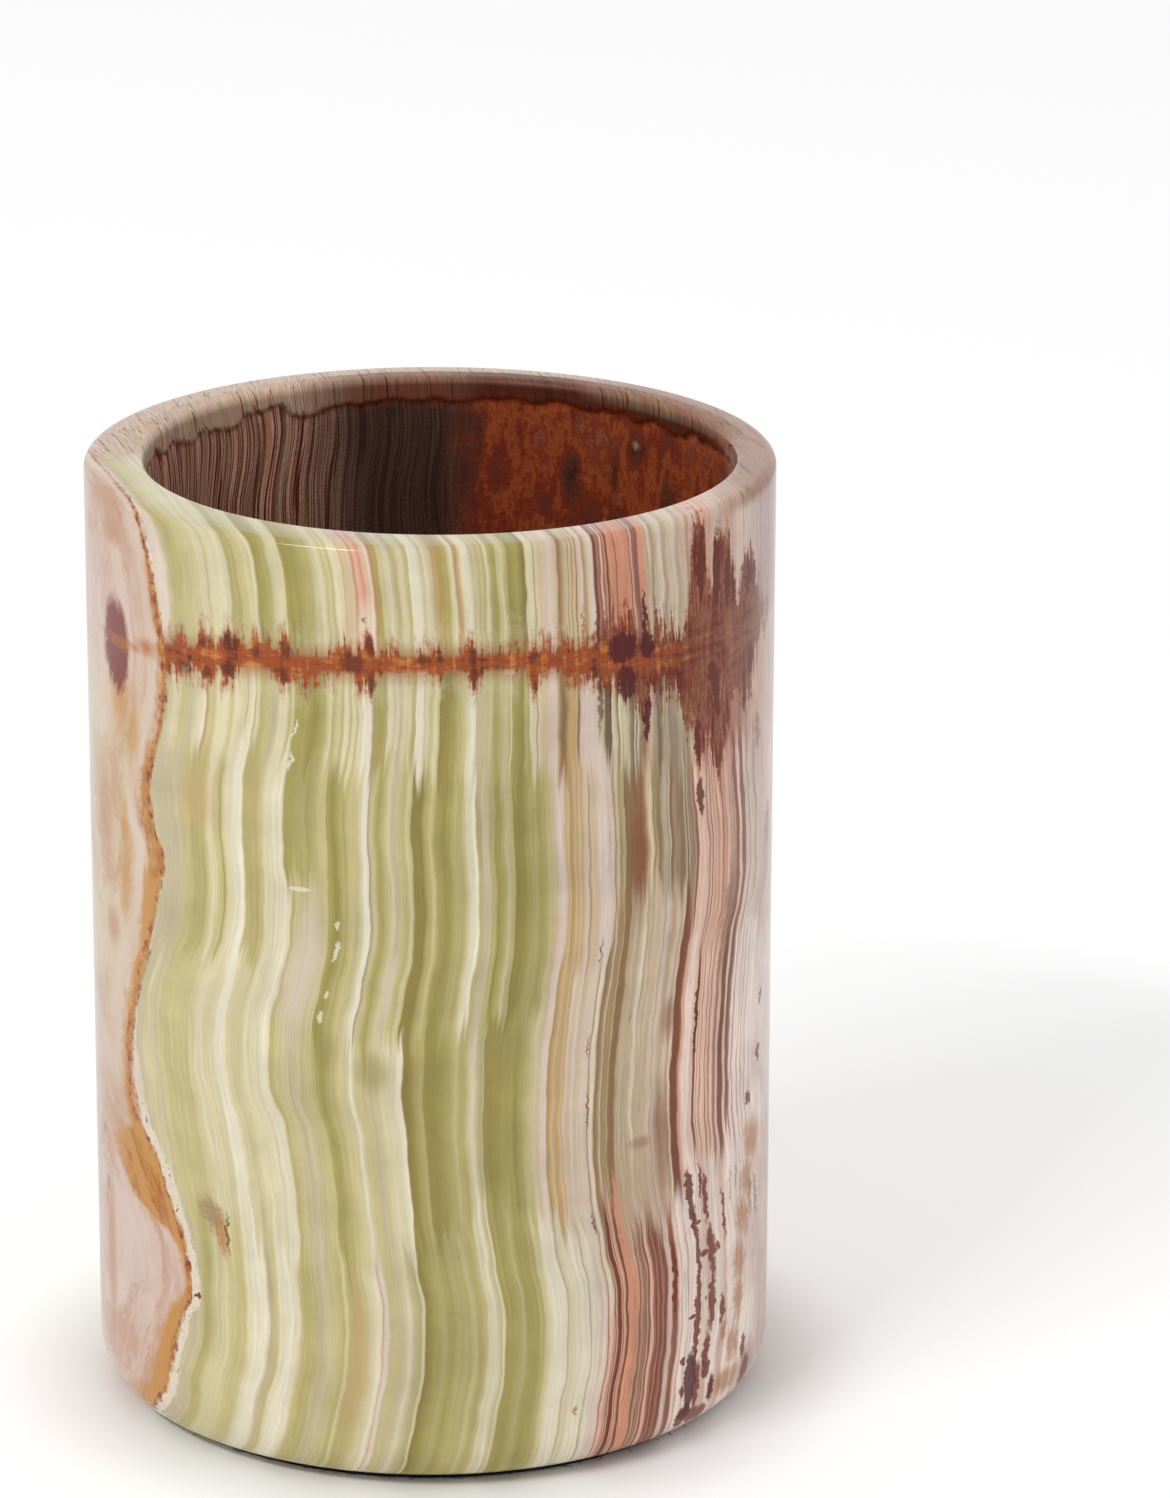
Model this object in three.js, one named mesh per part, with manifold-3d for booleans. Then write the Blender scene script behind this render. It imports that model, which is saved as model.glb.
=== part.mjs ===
// Pen holder turned from one block of banded onyx: a straight round cup with a blind bore
// drilled a little off centre, standing on a thin felt disc held by a film of adhesive.
// Millimetres, +Z up. The origin is the middle of the felt's underside, +X is the side
// where the wall is thin, and -Y is the front.
import * as THREE from 'three';
import { mergeVertices } from 'three/addons/utils/BufferGeometryUtils.js';
import Module from 'manifold-3d';

// Stone body
const cupDiameter = 72;
const stoneHeight = 101;
const rimOuterRound = 1;
const footRoundAcross = 3.4;
const footRoundUp = 4.6;

// Bore
const meanWall = 5.3;
const boreShiftX = 1;
const boreShiftY = 0.2;
const floorThickness = 10;
const boreCornerRound = 3;
const rimInnerRound = 0.85;

// Base pad
const feltThickness = 0.8;
const filmThickness = 0.2;
const feltInsetFromFlatBase = 0.6;
const filmInsetFromFelt = 0.3;

// How finely the round shapes are cut into flat faces
const facetsAround = 72;
const facetsPerRound = 5;
const toolOvershoot = 5;

// Sizes that follow from the ones above
const cupRadius = cupDiameter / 2;
const flatBaseRadius = cupRadius - footRoundAcross;
const feltRadius = flatBaseRadius - feltInsetFromFlatBase;
const filmRadius = feltRadius - filmInsetFromFelt;
const filmBottom = feltThickness;
const stoneBottom = filmBottom + filmThickness;
const stoneTop = stoneBottom + stoneHeight;
const boreRadius = cupRadius - meanWall;
const boreFloor = stoneBottom + floorThickness;

const stoneMaterial = new THREE.MeshStandardMaterial({ color: 0xb3a784, roughness: 0.2, metalness: 0 });
const filmMaterial = new THREE.MeshStandardMaterial({ color: 0xcfc7ad, roughness: 0.4, metalness: 0 });
const feltMaterial = new THREE.MeshStandardMaterial({ color: 0x17171a, roughness: 0.95, metalness: 0 });

// Quarter of an ellipse as profile points. Angles are in degrees from the outward direction.
function roundCorner(centreRadius, centreHeight, across, up, fromAngle, toAngle) {
  const points = [];
  for (let step = 0; step <= facetsPerRound; step += 1) {
    const angle = THREE.MathUtils.degToRad(fromAngle + ((toAngle - fromAngle) * step) / facetsPerRound);
    points.push(new THREE.Vector2(
      centreRadius + across * Math.cos(angle),
      centreHeight + up * Math.sin(angle),
    ));
  }
  return points;
}

// Turns a profile, drawn from the axis at the bottom to the axis at the top, about +Z.
function turned(profile) {
  const geometry = new THREE.LatheGeometry(profile, facetsAround);
  geometry.rotateX(Math.PI / 2);
  return geometry;
}

// A closed geometry as a solid for cutting. Triangles that shrank to a line on the axis are left out.
function solidOf(wasm, geometry) {
  const bare = geometry.clone();
  bare.deleteAttribute('normal');
  bare.deleteAttribute('uv');
  const merged = mergeVertices(bare, 1e-4);
  const corners = merged.index.array;
  const triangles = [];
  for (let first = 0; first < corners.length; first += 3) {
    const [a, b, c] = corners.slice(first, first + 3);
    if (a !== b && b !== c && c !== a) {
      triangles.push(a, b, c);
    }
  }
  const mesh = new wasm.Mesh({
    numProp: 3,
    vertProperties: new Float32Array(merged.attributes.position.array),
    triVerts: new Uint32Array(triangles),
  });
  return new wasm.Manifold(mesh);
}

// A cut solid back as a geometry that can be shown.
function geometryOf(solid) {
  const mesh = solid.getMesh();
  const geometry = new THREE.BufferGeometry();
  geometry.setAttribute('position', new THREE.BufferAttribute(mesh.vertProperties, 3));
  geometry.setIndex(new THREE.BufferAttribute(mesh.triVerts, 1));
  geometry.computeVertexNormals();
  return geometry;
}

// Outside of the cup: flat base, rolled foot, straight side, softened rim.
function stoneBlank() {
  return turned([
    new THREE.Vector2(0, stoneBottom),
    ...roundCorner(flatBaseRadius, stoneBottom + footRoundUp, footRoundAcross, footRoundUp, -90, 0),
    ...roundCorner(cupRadius - rimOuterRound, stoneTop - rimOuterRound, rimOuterRound, rimOuterRound, 0, 90),
    new THREE.Vector2(0, stoneTop),
  ]);
}

// Shape that the drill removes: flat floor, small corner, straight side, lip flared at the rim.
function boreTool() {
  const lipRadius = boreRadius + rimInnerRound;
  const cornerRadius = boreRadius - boreCornerRound;
  const cornerTop = boreFloor + boreCornerRound;
  const tool = turned([
    new THREE.Vector2(0, boreFloor),
    ...roundCorner(cornerRadius, cornerTop, boreCornerRound, boreCornerRound, -90, 0),
    ...roundCorner(lipRadius, stoneTop - rimInnerRound, rimInnerRound, rimInnerRound, 180, 90),
    new THREE.Vector2(lipRadius, stoneTop + toolOvershoot),
    new THREE.Vector2(0, stoneTop + toolOvershoot),
  ]);
  tool.translate(boreShiftX, boreShiftY, 0);
  return tool;
}

function disc(radius, thickness) {
  return turned([
    new THREE.Vector2(0, 0),
    new THREE.Vector2(radius, 0),
    new THREE.Vector2(radius, thickness),
    new THREE.Vector2(0, thickness),
  ]);
}

function named(name, geometry, material) {
  const mesh = new THREE.Mesh(geometry, material);
  mesh.name = name;
  return mesh;
}

const wasm = await Module();
wasm.setup();

const cup = solidOf(wasm, stoneBlank()).subtract(solidOf(wasm, boreTool()));
const onyxCup = named('onyx_cup', geometryOf(cup), stoneMaterial);

const padFilm = named('adhesive_film', disc(filmRadius, filmThickness), filmMaterial);
padFilm.position.z = filmBottom;

const feltPad = named('felt_pad', disc(feltRadius, feltThickness), feltMaterial);

const penHolder = new THREE.Group();
penHolder.add(onyxCup, padFilm, feltPad);

export default penHolder;
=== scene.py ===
import math
from functools import partial
from types import SimpleNamespace

import bpy
from mathutils import Matrix, Vector, noise


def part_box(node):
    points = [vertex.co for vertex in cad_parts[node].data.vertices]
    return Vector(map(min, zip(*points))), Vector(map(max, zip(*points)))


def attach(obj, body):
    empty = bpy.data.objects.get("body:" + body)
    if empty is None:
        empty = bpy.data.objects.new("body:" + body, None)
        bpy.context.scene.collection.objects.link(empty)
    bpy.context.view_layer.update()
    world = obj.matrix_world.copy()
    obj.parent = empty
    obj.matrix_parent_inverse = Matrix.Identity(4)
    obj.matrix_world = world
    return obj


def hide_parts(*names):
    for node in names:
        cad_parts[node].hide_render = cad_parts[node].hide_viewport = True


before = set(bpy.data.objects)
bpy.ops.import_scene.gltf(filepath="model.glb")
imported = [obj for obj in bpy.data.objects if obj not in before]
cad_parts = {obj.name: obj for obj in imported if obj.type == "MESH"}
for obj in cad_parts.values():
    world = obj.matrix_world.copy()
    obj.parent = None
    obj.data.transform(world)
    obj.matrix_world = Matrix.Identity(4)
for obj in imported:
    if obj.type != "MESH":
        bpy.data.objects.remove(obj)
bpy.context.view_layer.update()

# White table, plain studio light and the camera.
# The cup stands on a seamless white table. A large soft lamp stands high on the left, and white
# walls all round fill the shadows. The camera looks down at the cup from a little above its rim.
aim_right_of_axis = 0.01618
aim_height = 0.0696
camera_distance = 0.7036
camera_down_tilt = math.radians(17.82)
camera_roll = math.radians(0.17)
sensor_long_side = 36.0
lens_length = 160.3
nearest_seen = 0.01

table_size = 8.0
table_white = 0.93
table_roughness = 0.9
table_glow_seen = 0.22
glow_from = 0.034
glow_full = 0.05
room_light = 0.7
white = (1, 1, 1, 1)
lamp_power = 10.5
lamp_width = 0.75
lamp_height = 0.14
lamp_place = Vector((-0.85, -1.0, 1.25))


def add_node(tree, kind, *values, **settings):
    """Adds a node with its settings. The values set or link its shown inputs in their order.
    A kind without the word Node in it is a shader node."""
    node = tree.nodes.new(kind if "Node" in kind else "ShaderNode" + kind)
    for name, value in settings.items():
        setattr(node, name, value)
    sockets = [socket for socket in node.inputs if socket.enabled]
    for socket, value in zip(sockets, values):
        if isinstance(value, bpy.types.Node):
            value = next(shown for shown in value.outputs if shown.enabled)
        if isinstance(value, bpy.types.NodeSocket):
            tree.links.new(value, socket)
        else:
            socket.default_value = value
    return node


def new_material(name):
    """An empty material, with its node tree and its shader."""
    material = bpy.data.materials.new(name)
    material.use_nodes = True
    return material, material.node_tree, material.node_tree.nodes["Principled BSDF"]


def new_object(name, data):
    """An object that stands in the scene."""
    thing = bpy.data.objects.new(name, data)
    bpy.context.scene.collection.objects.link(thing)
    return thing


def place_camera():
    """A long lens that looks down at the cup, with its right and up axes rolled a little."""
    forward = Vector((0, math.cos(camera_down_tilt), -math.sin(camera_down_tilt)))
    level_right = Vector((1, 0, 0))
    level_up = level_right.cross(forward)
    right = math.cos(camera_roll) * level_right + math.sin(camera_roll) * level_up
    up = math.cos(camera_roll) * level_up - math.sin(camera_roll) * level_right
    place = Vector((aim_right_of_axis, 0, aim_height)) - camera_distance * forward
    lens = bpy.data.cameras.new("camera")
    lens.sensor_width = sensor_long_side
    lens.lens = lens_length
    lens.clip_start = nearest_seen
    camera = new_object("camera", lens)
    turned = Matrix((right, up, -forward)).transposed().to_4x4()
    camera.matrix_world = Matrix.Translation(place) @ turned
    bpy.context.scene.camera = camera


def seamless_paper():
    """Matte white paper. The camera sees it glow away from the cup, so that it runs out to pure white."""
    paper, tree, shader = new_material("seamless_white_paper")
    add = partial(add_node, tree)
    shader.inputs["Base Color"].default_value = (table_white, table_white, table_white, 1)
    shader.inputs["Roughness"].default_value = table_roughness
    shader.inputs["Specular IOR Level"].default_value = 0.0
    shader.inputs["Emission Color"].default_value = white
    place = add("TexCoord").outputs["Object"]
    from_axis = add("VectorMath", place, operation="LENGTH").outputs["Value"]
    glow = add("MapRange", from_axis, glow_from, glow_full, 0.0, table_glow_seen,
               interpolation_type="SMOOTHSTEP")
    ray = add("LightPath").outputs
    seen = add("Math", ray["Is Camera Ray"], glow, operation="MULTIPLY")
    tree.links.new(seen.outputs[0], shader.inputs["Emission Strength"])
    return paper


def build_table():
    """A large square sheet of paper at height 0."""
    half = table_size / 2
    corners = [(-half, -half, 0), (half, -half, 0), (half, half, 0), (-half, half, 0)]
    mesh = bpy.data.meshes.new("table")
    mesh.from_pydata(corners, [], [(0, 1, 2, 3)])
    mesh.materials.append(seamless_paper())
    new_object("table", mesh)


def light_room():
    """A white room that is pure white where it is seen or mirrored, and one soft lamp."""
    world = bpy.data.worlds.new("white_room")
    world.use_nodes = True
    world.node_tree.nodes.clear()
    add = partial(add_node, world.node_tree)
    ray = add("LightPath").outputs
    seen = add("Math", ray["Is Camera Ray"], ray["Is Glossy Ray"], operation="MAXIMUM")
    seen = add("Math", seen, ray["Is Transmission Ray"], operation="MAXIMUM")
    fill = add("Background", white, room_light)
    backdrop = add("Background", white, 1.0)
    add("OutputWorld", add("MixShader", seen, fill, backdrop))
    bpy.context.scene.world = world

    light = bpy.data.lights.new("soft_lamp", "AREA")
    light.shape = "RECTANGLE"
    light.size = lamp_width
    light.size_y = lamp_height
    light.energy = lamp_power
    lamp = new_object("soft_lamp", light)
    facing_cup = lamp_place.to_track_quat("Z", "Y").to_matrix().to_4x4()
    lamp.matrix_world = Matrix.Translation(lamp_place) @ facing_cup


place_camera()
build_table()
light_room()
bpy.context.scene.view_settings.view_transform = "Standard"

# Onyx cup.
# One block of banded calcite onyx, turned to a straight cylinder, drilled and polished outside
# and on the rim. The bore is left as the drill cut it, so its edge is ragged and its wall is dull.
mm = 0.001
in_mm = (1 / mm, 1 / mm, 1 / mm)
stone_low, stone_high = (Vector(corner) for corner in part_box("onyx_cup"))
cup_radius = (stone_high.x - stone_low.x) / 2
foot_height = stone_low.z
rim_height = stone_high.z
foot_round_across = 3.4 * mm
foot_round_up = 4.6 * mm
rim_outer_round = 1.0 * mm
rim_inner_round = 0.85 * mm
bore_centre = Vector((1.0 * mm, 0.2 * mm))
bore_radius = 30.7 * mm
bore_floor = foot_height + 10 * mm
bore_corner_round = 3.0 * mm

ragged_lip_least = 1.1 * mm
ragged_lip_most = 3.6 * mm
ragged_lobes = 7.0
chip_depth = 0.35 * mm
drilled_share = 0.6
chip_share = 0.5
chip_run = 0.5 * mm
chip_fade = 3 * chip_run
drilled_roughness = 0.12 * mm
grain_lobes = 40
grain_per_mm_up = 0.45

# How steeply the layers of a noise weaken, how much finer each is than the last, and how many there are.
lip_noise = (0.9, 2.2, 5)
drilled_noise = (0.8, 2.1, 4)

points_around = 400
foot_steps = 10
round_steps = 6
side_step = 6 * mm
wall_step = 1.6 * mm
lip_step = 0.22 * mm
lip_zone = 4.6 * mm
polished_mark = -9.0
floor_mark = 90.0
stone_index = 1.55
stone_shine = 0.25
polished_roughness = 0.11
dull_roughness = 0.75


def arc(centre_radius, centre_height, across, up, start, end, steps):
    """Points of a quarter ellipse. Angles are in degrees from the outward direction."""
    angles = [math.radians(start + (end - start) * i / steps) for i in range(steps + 1)]
    return [(centre_radius + across * math.cos(a), centre_height + up * math.sin(a)) for a in angles]


def stretch(radius, low, high, step):
    """Points of an upright line from low to high, both left out, about one step apart."""
    count = max(1, round(abs(high - low) / step))
    return [(radius, low + (high - low) * i / count) for i in range(1, count)]


def directions(count):
    """Unit vectors all round the axis."""
    angles = [2 * math.pi * i / count for i in range(count)]
    return [Vector((math.cos(angle), math.sin(angle), 0)) for angle in angles]


def turned_mesh(name, verts, around):
    """A closed mesh of rings with so many points around. Its first and last points are its two ends."""
    last = len(verts) - 1 - around
    faces = []
    for i in range(around):
        after = (i + 1) % around
        faces.append((0, 1 + after, 1 + i))
        for low in range(1, last, around):
            high = low + around
            faces.append((low + i, low + after, high + after, high + i))
        faces.append((last + i, last + after, len(verts) - 1))
    mesh = bpy.data.meshes.new(name)
    mesh.from_pydata(verts, [], faces)
    return mesh


def cup_profile():
    """The cup's outside from its flat base to its rim, and its inside from there to the bore's floor."""
    flat_radius = cup_radius - foot_round_across
    foot_top = foot_height + foot_round_up
    rim_radius = cup_radius - rim_outer_round
    side_top = rim_height - rim_outer_round
    outer = arc(flat_radius, foot_top, foot_round_across, foot_round_up, -90, 0, foot_steps)
    outer += stretch(cup_radius, foot_top, side_top, side_step)
    outer += arc(rim_radius, side_top, rim_outer_round, rim_outer_round, 0, 90, round_steps)
    lip_radius = bore_radius + rim_inner_round
    wall_top = rim_height - rim_inner_round
    fine_until = rim_height - lip_zone
    corner_radius = bore_radius - bore_corner_round
    corner_top = bore_floor + bore_corner_round
    inner = arc(lip_radius, wall_top, rim_inner_round, rim_inner_round, 90, 180, round_steps)
    inner += stretch(bore_radius, wall_top, fine_until, lip_step)
    inner += stretch(bore_radius, fine_until, corner_top, wall_step)
    inner += arc(corner_radius, corner_top, bore_corner_round, bore_corner_round, 0, -90, round_steps)
    return outer, inner


def drilled_point(radius, height, around):
    """A point of the bore, and how many millimetres it is below the ragged lip. The wall under the lip
    is chipped, and then rough from the drill."""
    ragged = 0.5 + 0.5 * noise.fractal(around * ragged_lobes, *lip_noise)
    lip = rim_height - ragged_lip_least - (ragged_lip_most - ragged_lip_least) * min(max(ragged, 0), 1)
    cut = min(max((lip - height) / chip_run, 0), 1)
    grain_place = Vector((around.x * grain_lobes, around.y * grain_lobes, height / mm * grain_per_mm_up))
    grain = noise.fractal(grain_place, *drilled_noise)
    at = radius + cut * (chip_depth * drilled_share + drilled_roughness * grain)
    at += chip_depth * chip_share * cut * (1 - min((lip - height) / chip_fade, 1))
    return (bore_centre.x + at * around.x, bore_centre.y + at * around.y, height), (lip - height) / mm


def cup_mesh():
    """The cup as a mesh. Its points know how many millimetres they are below the bore's ragged lip."""
    outer, inner = cup_profile()
    all_round = directions(points_around)
    verts = [(0, 0, foot_height)]
    for radius, height in outer:
        verts += [(radius * around.x, radius * around.y, height) for around in all_round]
    below_lip = [polished_mark] * len(verts)
    for radius, height in inner:
        for around in all_round:
            point, below = drilled_point(radius, height, around)
            verts.append(point)
            below_lip.append(below)
    verts.append((bore_centre.x, bore_centre.y, bore_floor))
    below_lip.append(floor_mark)
    mesh = turned_mesh("onyx_cup", verts, points_around)
    mesh.polygons.foreach_set("use_smooth", [True] * len(mesh.polygons))
    mesh.attributes.new("mm_below_lip", "FLOAT", "POINT").data.foreach_set("value", below_lip)
    return mesh


def linear(hex_colour):
    """An sRGB hex colour as linear red, green, blue and 1."""
    channels = [int(hex_colour[i:i + 2], 16) / 255 for i in (0, 2, 4)]
    return [c / 12.92 if c <= 0.04045 else ((c + 0.055) / 1.055) ** 2.4 for c in channels] + [1.0]


# The stone's own colours, as they look under white light.
onyx_colours = {name: linear(colour) for name, colour in {
    "ivory": "e3dac2", "cream": "d7cdab", "pale_straw": "cfc49b", "straw": "c4b886", "putty": "c2b595",
    "moss": "b5a973", "olive": "a69b5f", "deep_olive": "998c50", "dark_olive": "8e8048", "honey": "c6a676",
    "amber": "b3935f", "sand": "d0ba99", "tan": "b1906c", "taupe": "927350", "ash": "a8957e",
    "shell": "dccabb", "pale_blush": "d9b9a8", "blush": "dcab96", "salmon": "d6987c", "rose": "b5806c",
    "mauve": "946558", "umber": "7c4c3c", "dark_umber": "5d3a34", "dark_ash": "74624f", "orange": "c07231",
    "rust": "9c4a1f", "dark_rust": "642a18", "maroon": "54121a", "black_brown": "301608", "burnt": "8a5138",
    "rusty_tan": "a46a49", "wine": "740a10", "liver": "7c2806", "clay": "bd8a66", "pearl": "f6e4d9",
    "apricot": "c9924f", "dusty_pink": "d2b8aa", "fawn": "c3a288", "peach": "deb49f", "lavender": "c3aaa6",
    "sage": "c0a98a", "pale_sage": "d6c3a9", "ochre": "c48a3a", "deep_ochre": "b06c14",
    "dark_liver": "661a04", "smoke": "9c8868", "tawny": "b5763a", "pale_peach": "f0cbb6",
}.items()}

# The bands grew one on another as near upright sheets. Each list says which colour is where across
# the sheets, in millimetres from the cup's axis, at one height. Between heights one changes to the next.
bands_above_seam = """
    -33 shell, -32.7 putty, -32.2 moss, -31.5 straw, -30.4 pale_straw, -29.8 cream, -29.6 straw,
    -29.4 cream, -28.1 cream, -27.9 moss, -27.5 moss, -27 straw, -26.2 pale_straw, -25.9 cream,
    -25.7 deep_olive, -25.2 olive, -24.7 moss, -24.2 cream, -23.5 pale_straw, -23.3 deep_olive, -22 olive,
    -21 moss, -20 cream, -19.6 straw, -19.2 pale_straw, -19 moss, -18.8 cream, -18 cream, -17.9 honey,
    -17.7 sand, -17 sand, -16.8 clay, -16.5 peach, -16 salmon, -15.7 peach, -15.4 sand, -15.1 shell,
    -14.9 clay, -14.75 amber, -14.3 olive, -14.1 straw, -13.6 putty, -13.3 cream, -13 putty, -12.7 moss,
    -12.4 putty, -11.8 pale_straw, -11.4 moss, -11.1 ivory, -10.5 ivory, -10.2 cream, -9.9 putty,
    -9.7 cream, -9 putty, -8.6 amber, -7.5 olive, -7.2 straw, -7 cream, -6.8 cream, -6.5 tan, -6.2 honey,
    -5.9 cream, -5.5 ivory, -5 cream, -4.8 putty, -3.9 straw, -3.6 moss, -3.3 cream, -2.9 moss, -2.6 olive,
    -2.3 olive, -2.1 straw, -1.7 pale_straw, -1.2 moss, -1 deep_olive, 0 olive, 0.5 dark_olive,
    0.8 dark_olive, 0.95 cream, 1.7 cream, 1.85 ash, 2 cream, 2.5 sand, 3.5 shell, 4.3 sand, 4.6 taupe,
    4.9 tan, 5.3 putty, 5.6 sand, 5.8 tan, 5.9 cream, 6.1 tan, 6.3 sand, 6.45 sand, 6.55 taupe, 6.7 sand,
    7.2 shell, 7.5 tan, 7.9 sand, 8.2 shell, 8.65 shell, 8.8 umber, 9.1 umber, 9.2 rose, 9.5 mauve,
    9.65 shell, 9.8 blush, 9.9 umber, 10 rose, 10.2 salmon, 10.3 umber, 10.45 umber, 10.6 salmon,
    11.3 salmon, 11.4 umber, 11.5 salmon, 13.1 salmon, 13.25 umber, 13.4 peach, 13.6 rose, 13.9 mauve,
    14.2 mauve, 14.4 salmon, 14.8 salmon, 15.1 fawn, 15.6 pale_sage, 15.9 smoke, 16.2 pale_sage, 16.9 shell,
    17.2 sage, 18 pale_sage, 18.6 shell, 19 sage, 19.6 pale_sage, 20.2 fawn, 20.5 pale_blush, 22 peach,
    22.8 blush, 24 shell, 25.4 peach, 26.2 pale_blush, 28 shell, 31 lavender, 36 lavender
"""
bands_under_seam = """
    -33 putty, -32.4 cream, -31.9 straw, -31.2 putty, -30.6 cream, -30.25 ivory, -30.1 tan, -29.9 straw,
    -29.5 straw, -29.2 cream, -28.4 cream, -28.1 straw, -27.9 cream, -27.1 pale_straw, -27 moss,
    -26.85 cream, -26.5 ivory, -26.35 moss, -26.2 cream, -26 pale_straw, -25.8 moss, -25.3 straw,
    -24.7 putty, -24.3 cream, -23.7 cream, -23.4 moss, -23.1 pale_straw, -22.85 olive, -22 olive,
    -21 deep_olive, -20.5 olive, -20.1 moss, -19.8 straw, -19.5 cream, -19.25 moss, -18.9 straw,
    -18.6 pale_straw, -18.35 moss, -18.1 cream, -17.8 cream, -17.6 moss, -17.4 cream, -17.1 pale_straw,
    -17 moss, -16.8 cream, -16.5 cream, -16.3 ivory, -15.6 ivory, -15.4 ash, -15.1 olive, -14.5 olive,
    -14.15 moss, -14 cream, -13.6 cream, -13.4 putty, -13.2 cream, -12.8 putty, -12.4 cream,
    -11.7 pale_straw, -11.4 moss, -11.2 moss, -11.1 ivory, -10.4 ivory, -10.2 putty, -10.05 cream,
    -9.5 straw, -9.1 cream, -8.8 straw, -8.6 dark_olive, -7.6 deep_olive, -7.1 olive, -6.6 moss, -6.2 straw,
    -5.8 cream, -5.4 ivory, -5.05 ivory, -4.9 putty, -4.3 putty, -3.9 straw, -3.6 putty, -3.4 pale_straw,
    -3.1 moss, -2.7 olive, -2.3 moss, -1.8 putty, -1.5 straw, -1.25 moss, -1.1 cream, -0.95 olive,
    0 deep_olive, 0.3 deep_olive, 0.45 moss, 0.8 moss, 0.95 olive, 1.05 cream, 1.7 cream, 1.85 ash, 2 cream,
    2.5 sand, 3.9 shell, 4.1 sand, 4.3 tan, 4.6 taupe, 4.9 taupe, 5.2 amber, 5.5 honey, 6.1 honey,
    6.25 sand, 6.35 umber, 6.5 tan, 6.7 shell, 8.4 shell, 9.2 putty, 9.4 dark_ash, 9.9 dark_ash,
    10 dark_umber, 10.15 cream, 10.7 putty, 10.85 dark_ash, 11 cream, 12.1 putty, 12.3 ash, 12.6 dark_ash,
    12.8 cream, 12.95 dark_ash, 13.1 cream, 13.4 ash, 14 taupe, 14.8 pale_blush, 15.3 ash, 15.7 dark_ash,
    16.1 ash, 16.8 putty, 17.2 ash, 18 ash, 18.9 putty, 19.4 ash, 20 sand, 21 rose, 24 salmon, 27 rose,
    29 pale_blush, 36 pale_blush
"""
bands_upper = """
    -33 putty, -31.6 putty, -31.2 straw, -30.4 moss, -29.7 moss, -29.4 straw, -29.1 cream, -28.8 pale_straw,
    -28.6 straw, -28.3 straw, -28.15 olive, -28 straw, -27.7 cream, -27.4 cream, -27 ivory, -26.5 ivory,
    -26.3 moss, -25.2 moss, -24.9 straw, -24.5 cream, -23.9 cream, -23.7 ivory, -23.4 cream, -23.1 ivory,
    -22.9 cream, -22.8 olive, -22.2 olive, -21 moss, -20.85 olive, -20.2 moss, -19.7 straw, -19.15 straw,
    -19.05 olive, -18.4 deep_olive, -18 olive, -17.6 moss, -17.4 olive, -17.2 moss, -16.8 straw,
    -16.3 straw, -15.9 cream, -15.75 ivory, -15.3 ivory, -15.2 ash, -15 putty, -14.7 straw, -14.5 moss,
    -14.1 olive, -13.8 moss, -13.2 pale_straw, -12.9 putty, -12.6 putty, -12.2 straw, -11.7 moss,
    -11.4 pale_straw, -11.15 straw, -11 dark_olive, -10.1 dark_olive, -9.8 olive, -9.4 moss, -9.1 straw,
    -8.8 moss, -8.65 olive, -7.9 deep_olive, -7.3 olive, -6.9 moss, -6.1 moss, -5.8 straw, -5.5 cream,
    -5 ivory, -4.65 ivory, -4.5 moss, -4 putty, -3.4 putty, -3.1 moss, -2.8 moss, -2.6 deep_olive,
    -2.1 olive, -1.7 moss, -1.4 putty, -0.9 moss, -0.75 moss, -0.65 dark_olive, 0.2 deep_olive, 0.8 olive,
    1.5 moss, 2 olive, 2.6 moss, 3.1 straw, 3.6 sand, 4.1 shell, 4.6 shell, 4.9 honey, 5.1 sand, 5.3 amber,
    5.6 honey, 5.8 sand, 6 honey, 6.3 sand, 6.6 honey, 6.75 sand, 7.15 shell, 7.3 tan, 7.5 sand, 8.1 sand,
    8.4 shell, 9.9 shell, 10.1 sand, 10.2 taupe, 10.3 sage, 10.6 pale_sage, 10.75 smoke, 10.9 moss,
    11.2 sage, 11.35 taupe, 11.5 taupe, 12.6 taupe, 13 rusty_tan, 13.4 taupe, 13.6 tan, 13.8 honey,
    14.1 sand, 14.3 ivory, 14.55 sand, 14.7 taupe, 14.85 moss, 15.4 taupe, 15.6 ash, 16.2 putty, 16.6 ash,
    16.75 ivory, 16.85 taupe, 17.1 taupe, 17.3 ash, 18.3 taupe, 18.55 ash, 18.65 cream, 18.8 dark_ash,
    18.9 ash, 19.05 pale_straw, 19.2 taupe, 19.35 ash, 19.55 taupe, 19.7 fawn, 19.95 mauve, 20.1 mauve,
    20.2 pale_peach, 21.5 pale_peach, 21.65 peach, 21.8 mauve, 21.9 pale_peach, 22.1 peach, 22.2 umber,
    22.3 pale_peach, 22.5 peach, 22.6 rose, 22.7 pale_peach, 23.1 salmon, 23.35 pale_peach, 23.7 salmon,
    23.8 umber, 23.9 salmon, 24.2 peach, 24.3 rose, 24.45 pale_peach, 24.8 pale_blush, 25 rose, 25.2 peach,
    25.4 rose, 25.55 pale_blush, 25.7 rose, 25.8 mauve, 26.2 mauve, 26.35 pale_peach, 26.6 pale_peach,
    26.75 mauve, 27.2 mauve, 27.35 shell, 27.8 shell, 27.95 rose, 28.1 shell, 28.9 pale_blush, 29.1 ash,
    29.3 shell, 31.5 pale_blush, 33 shell, 36 shell
"""
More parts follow.
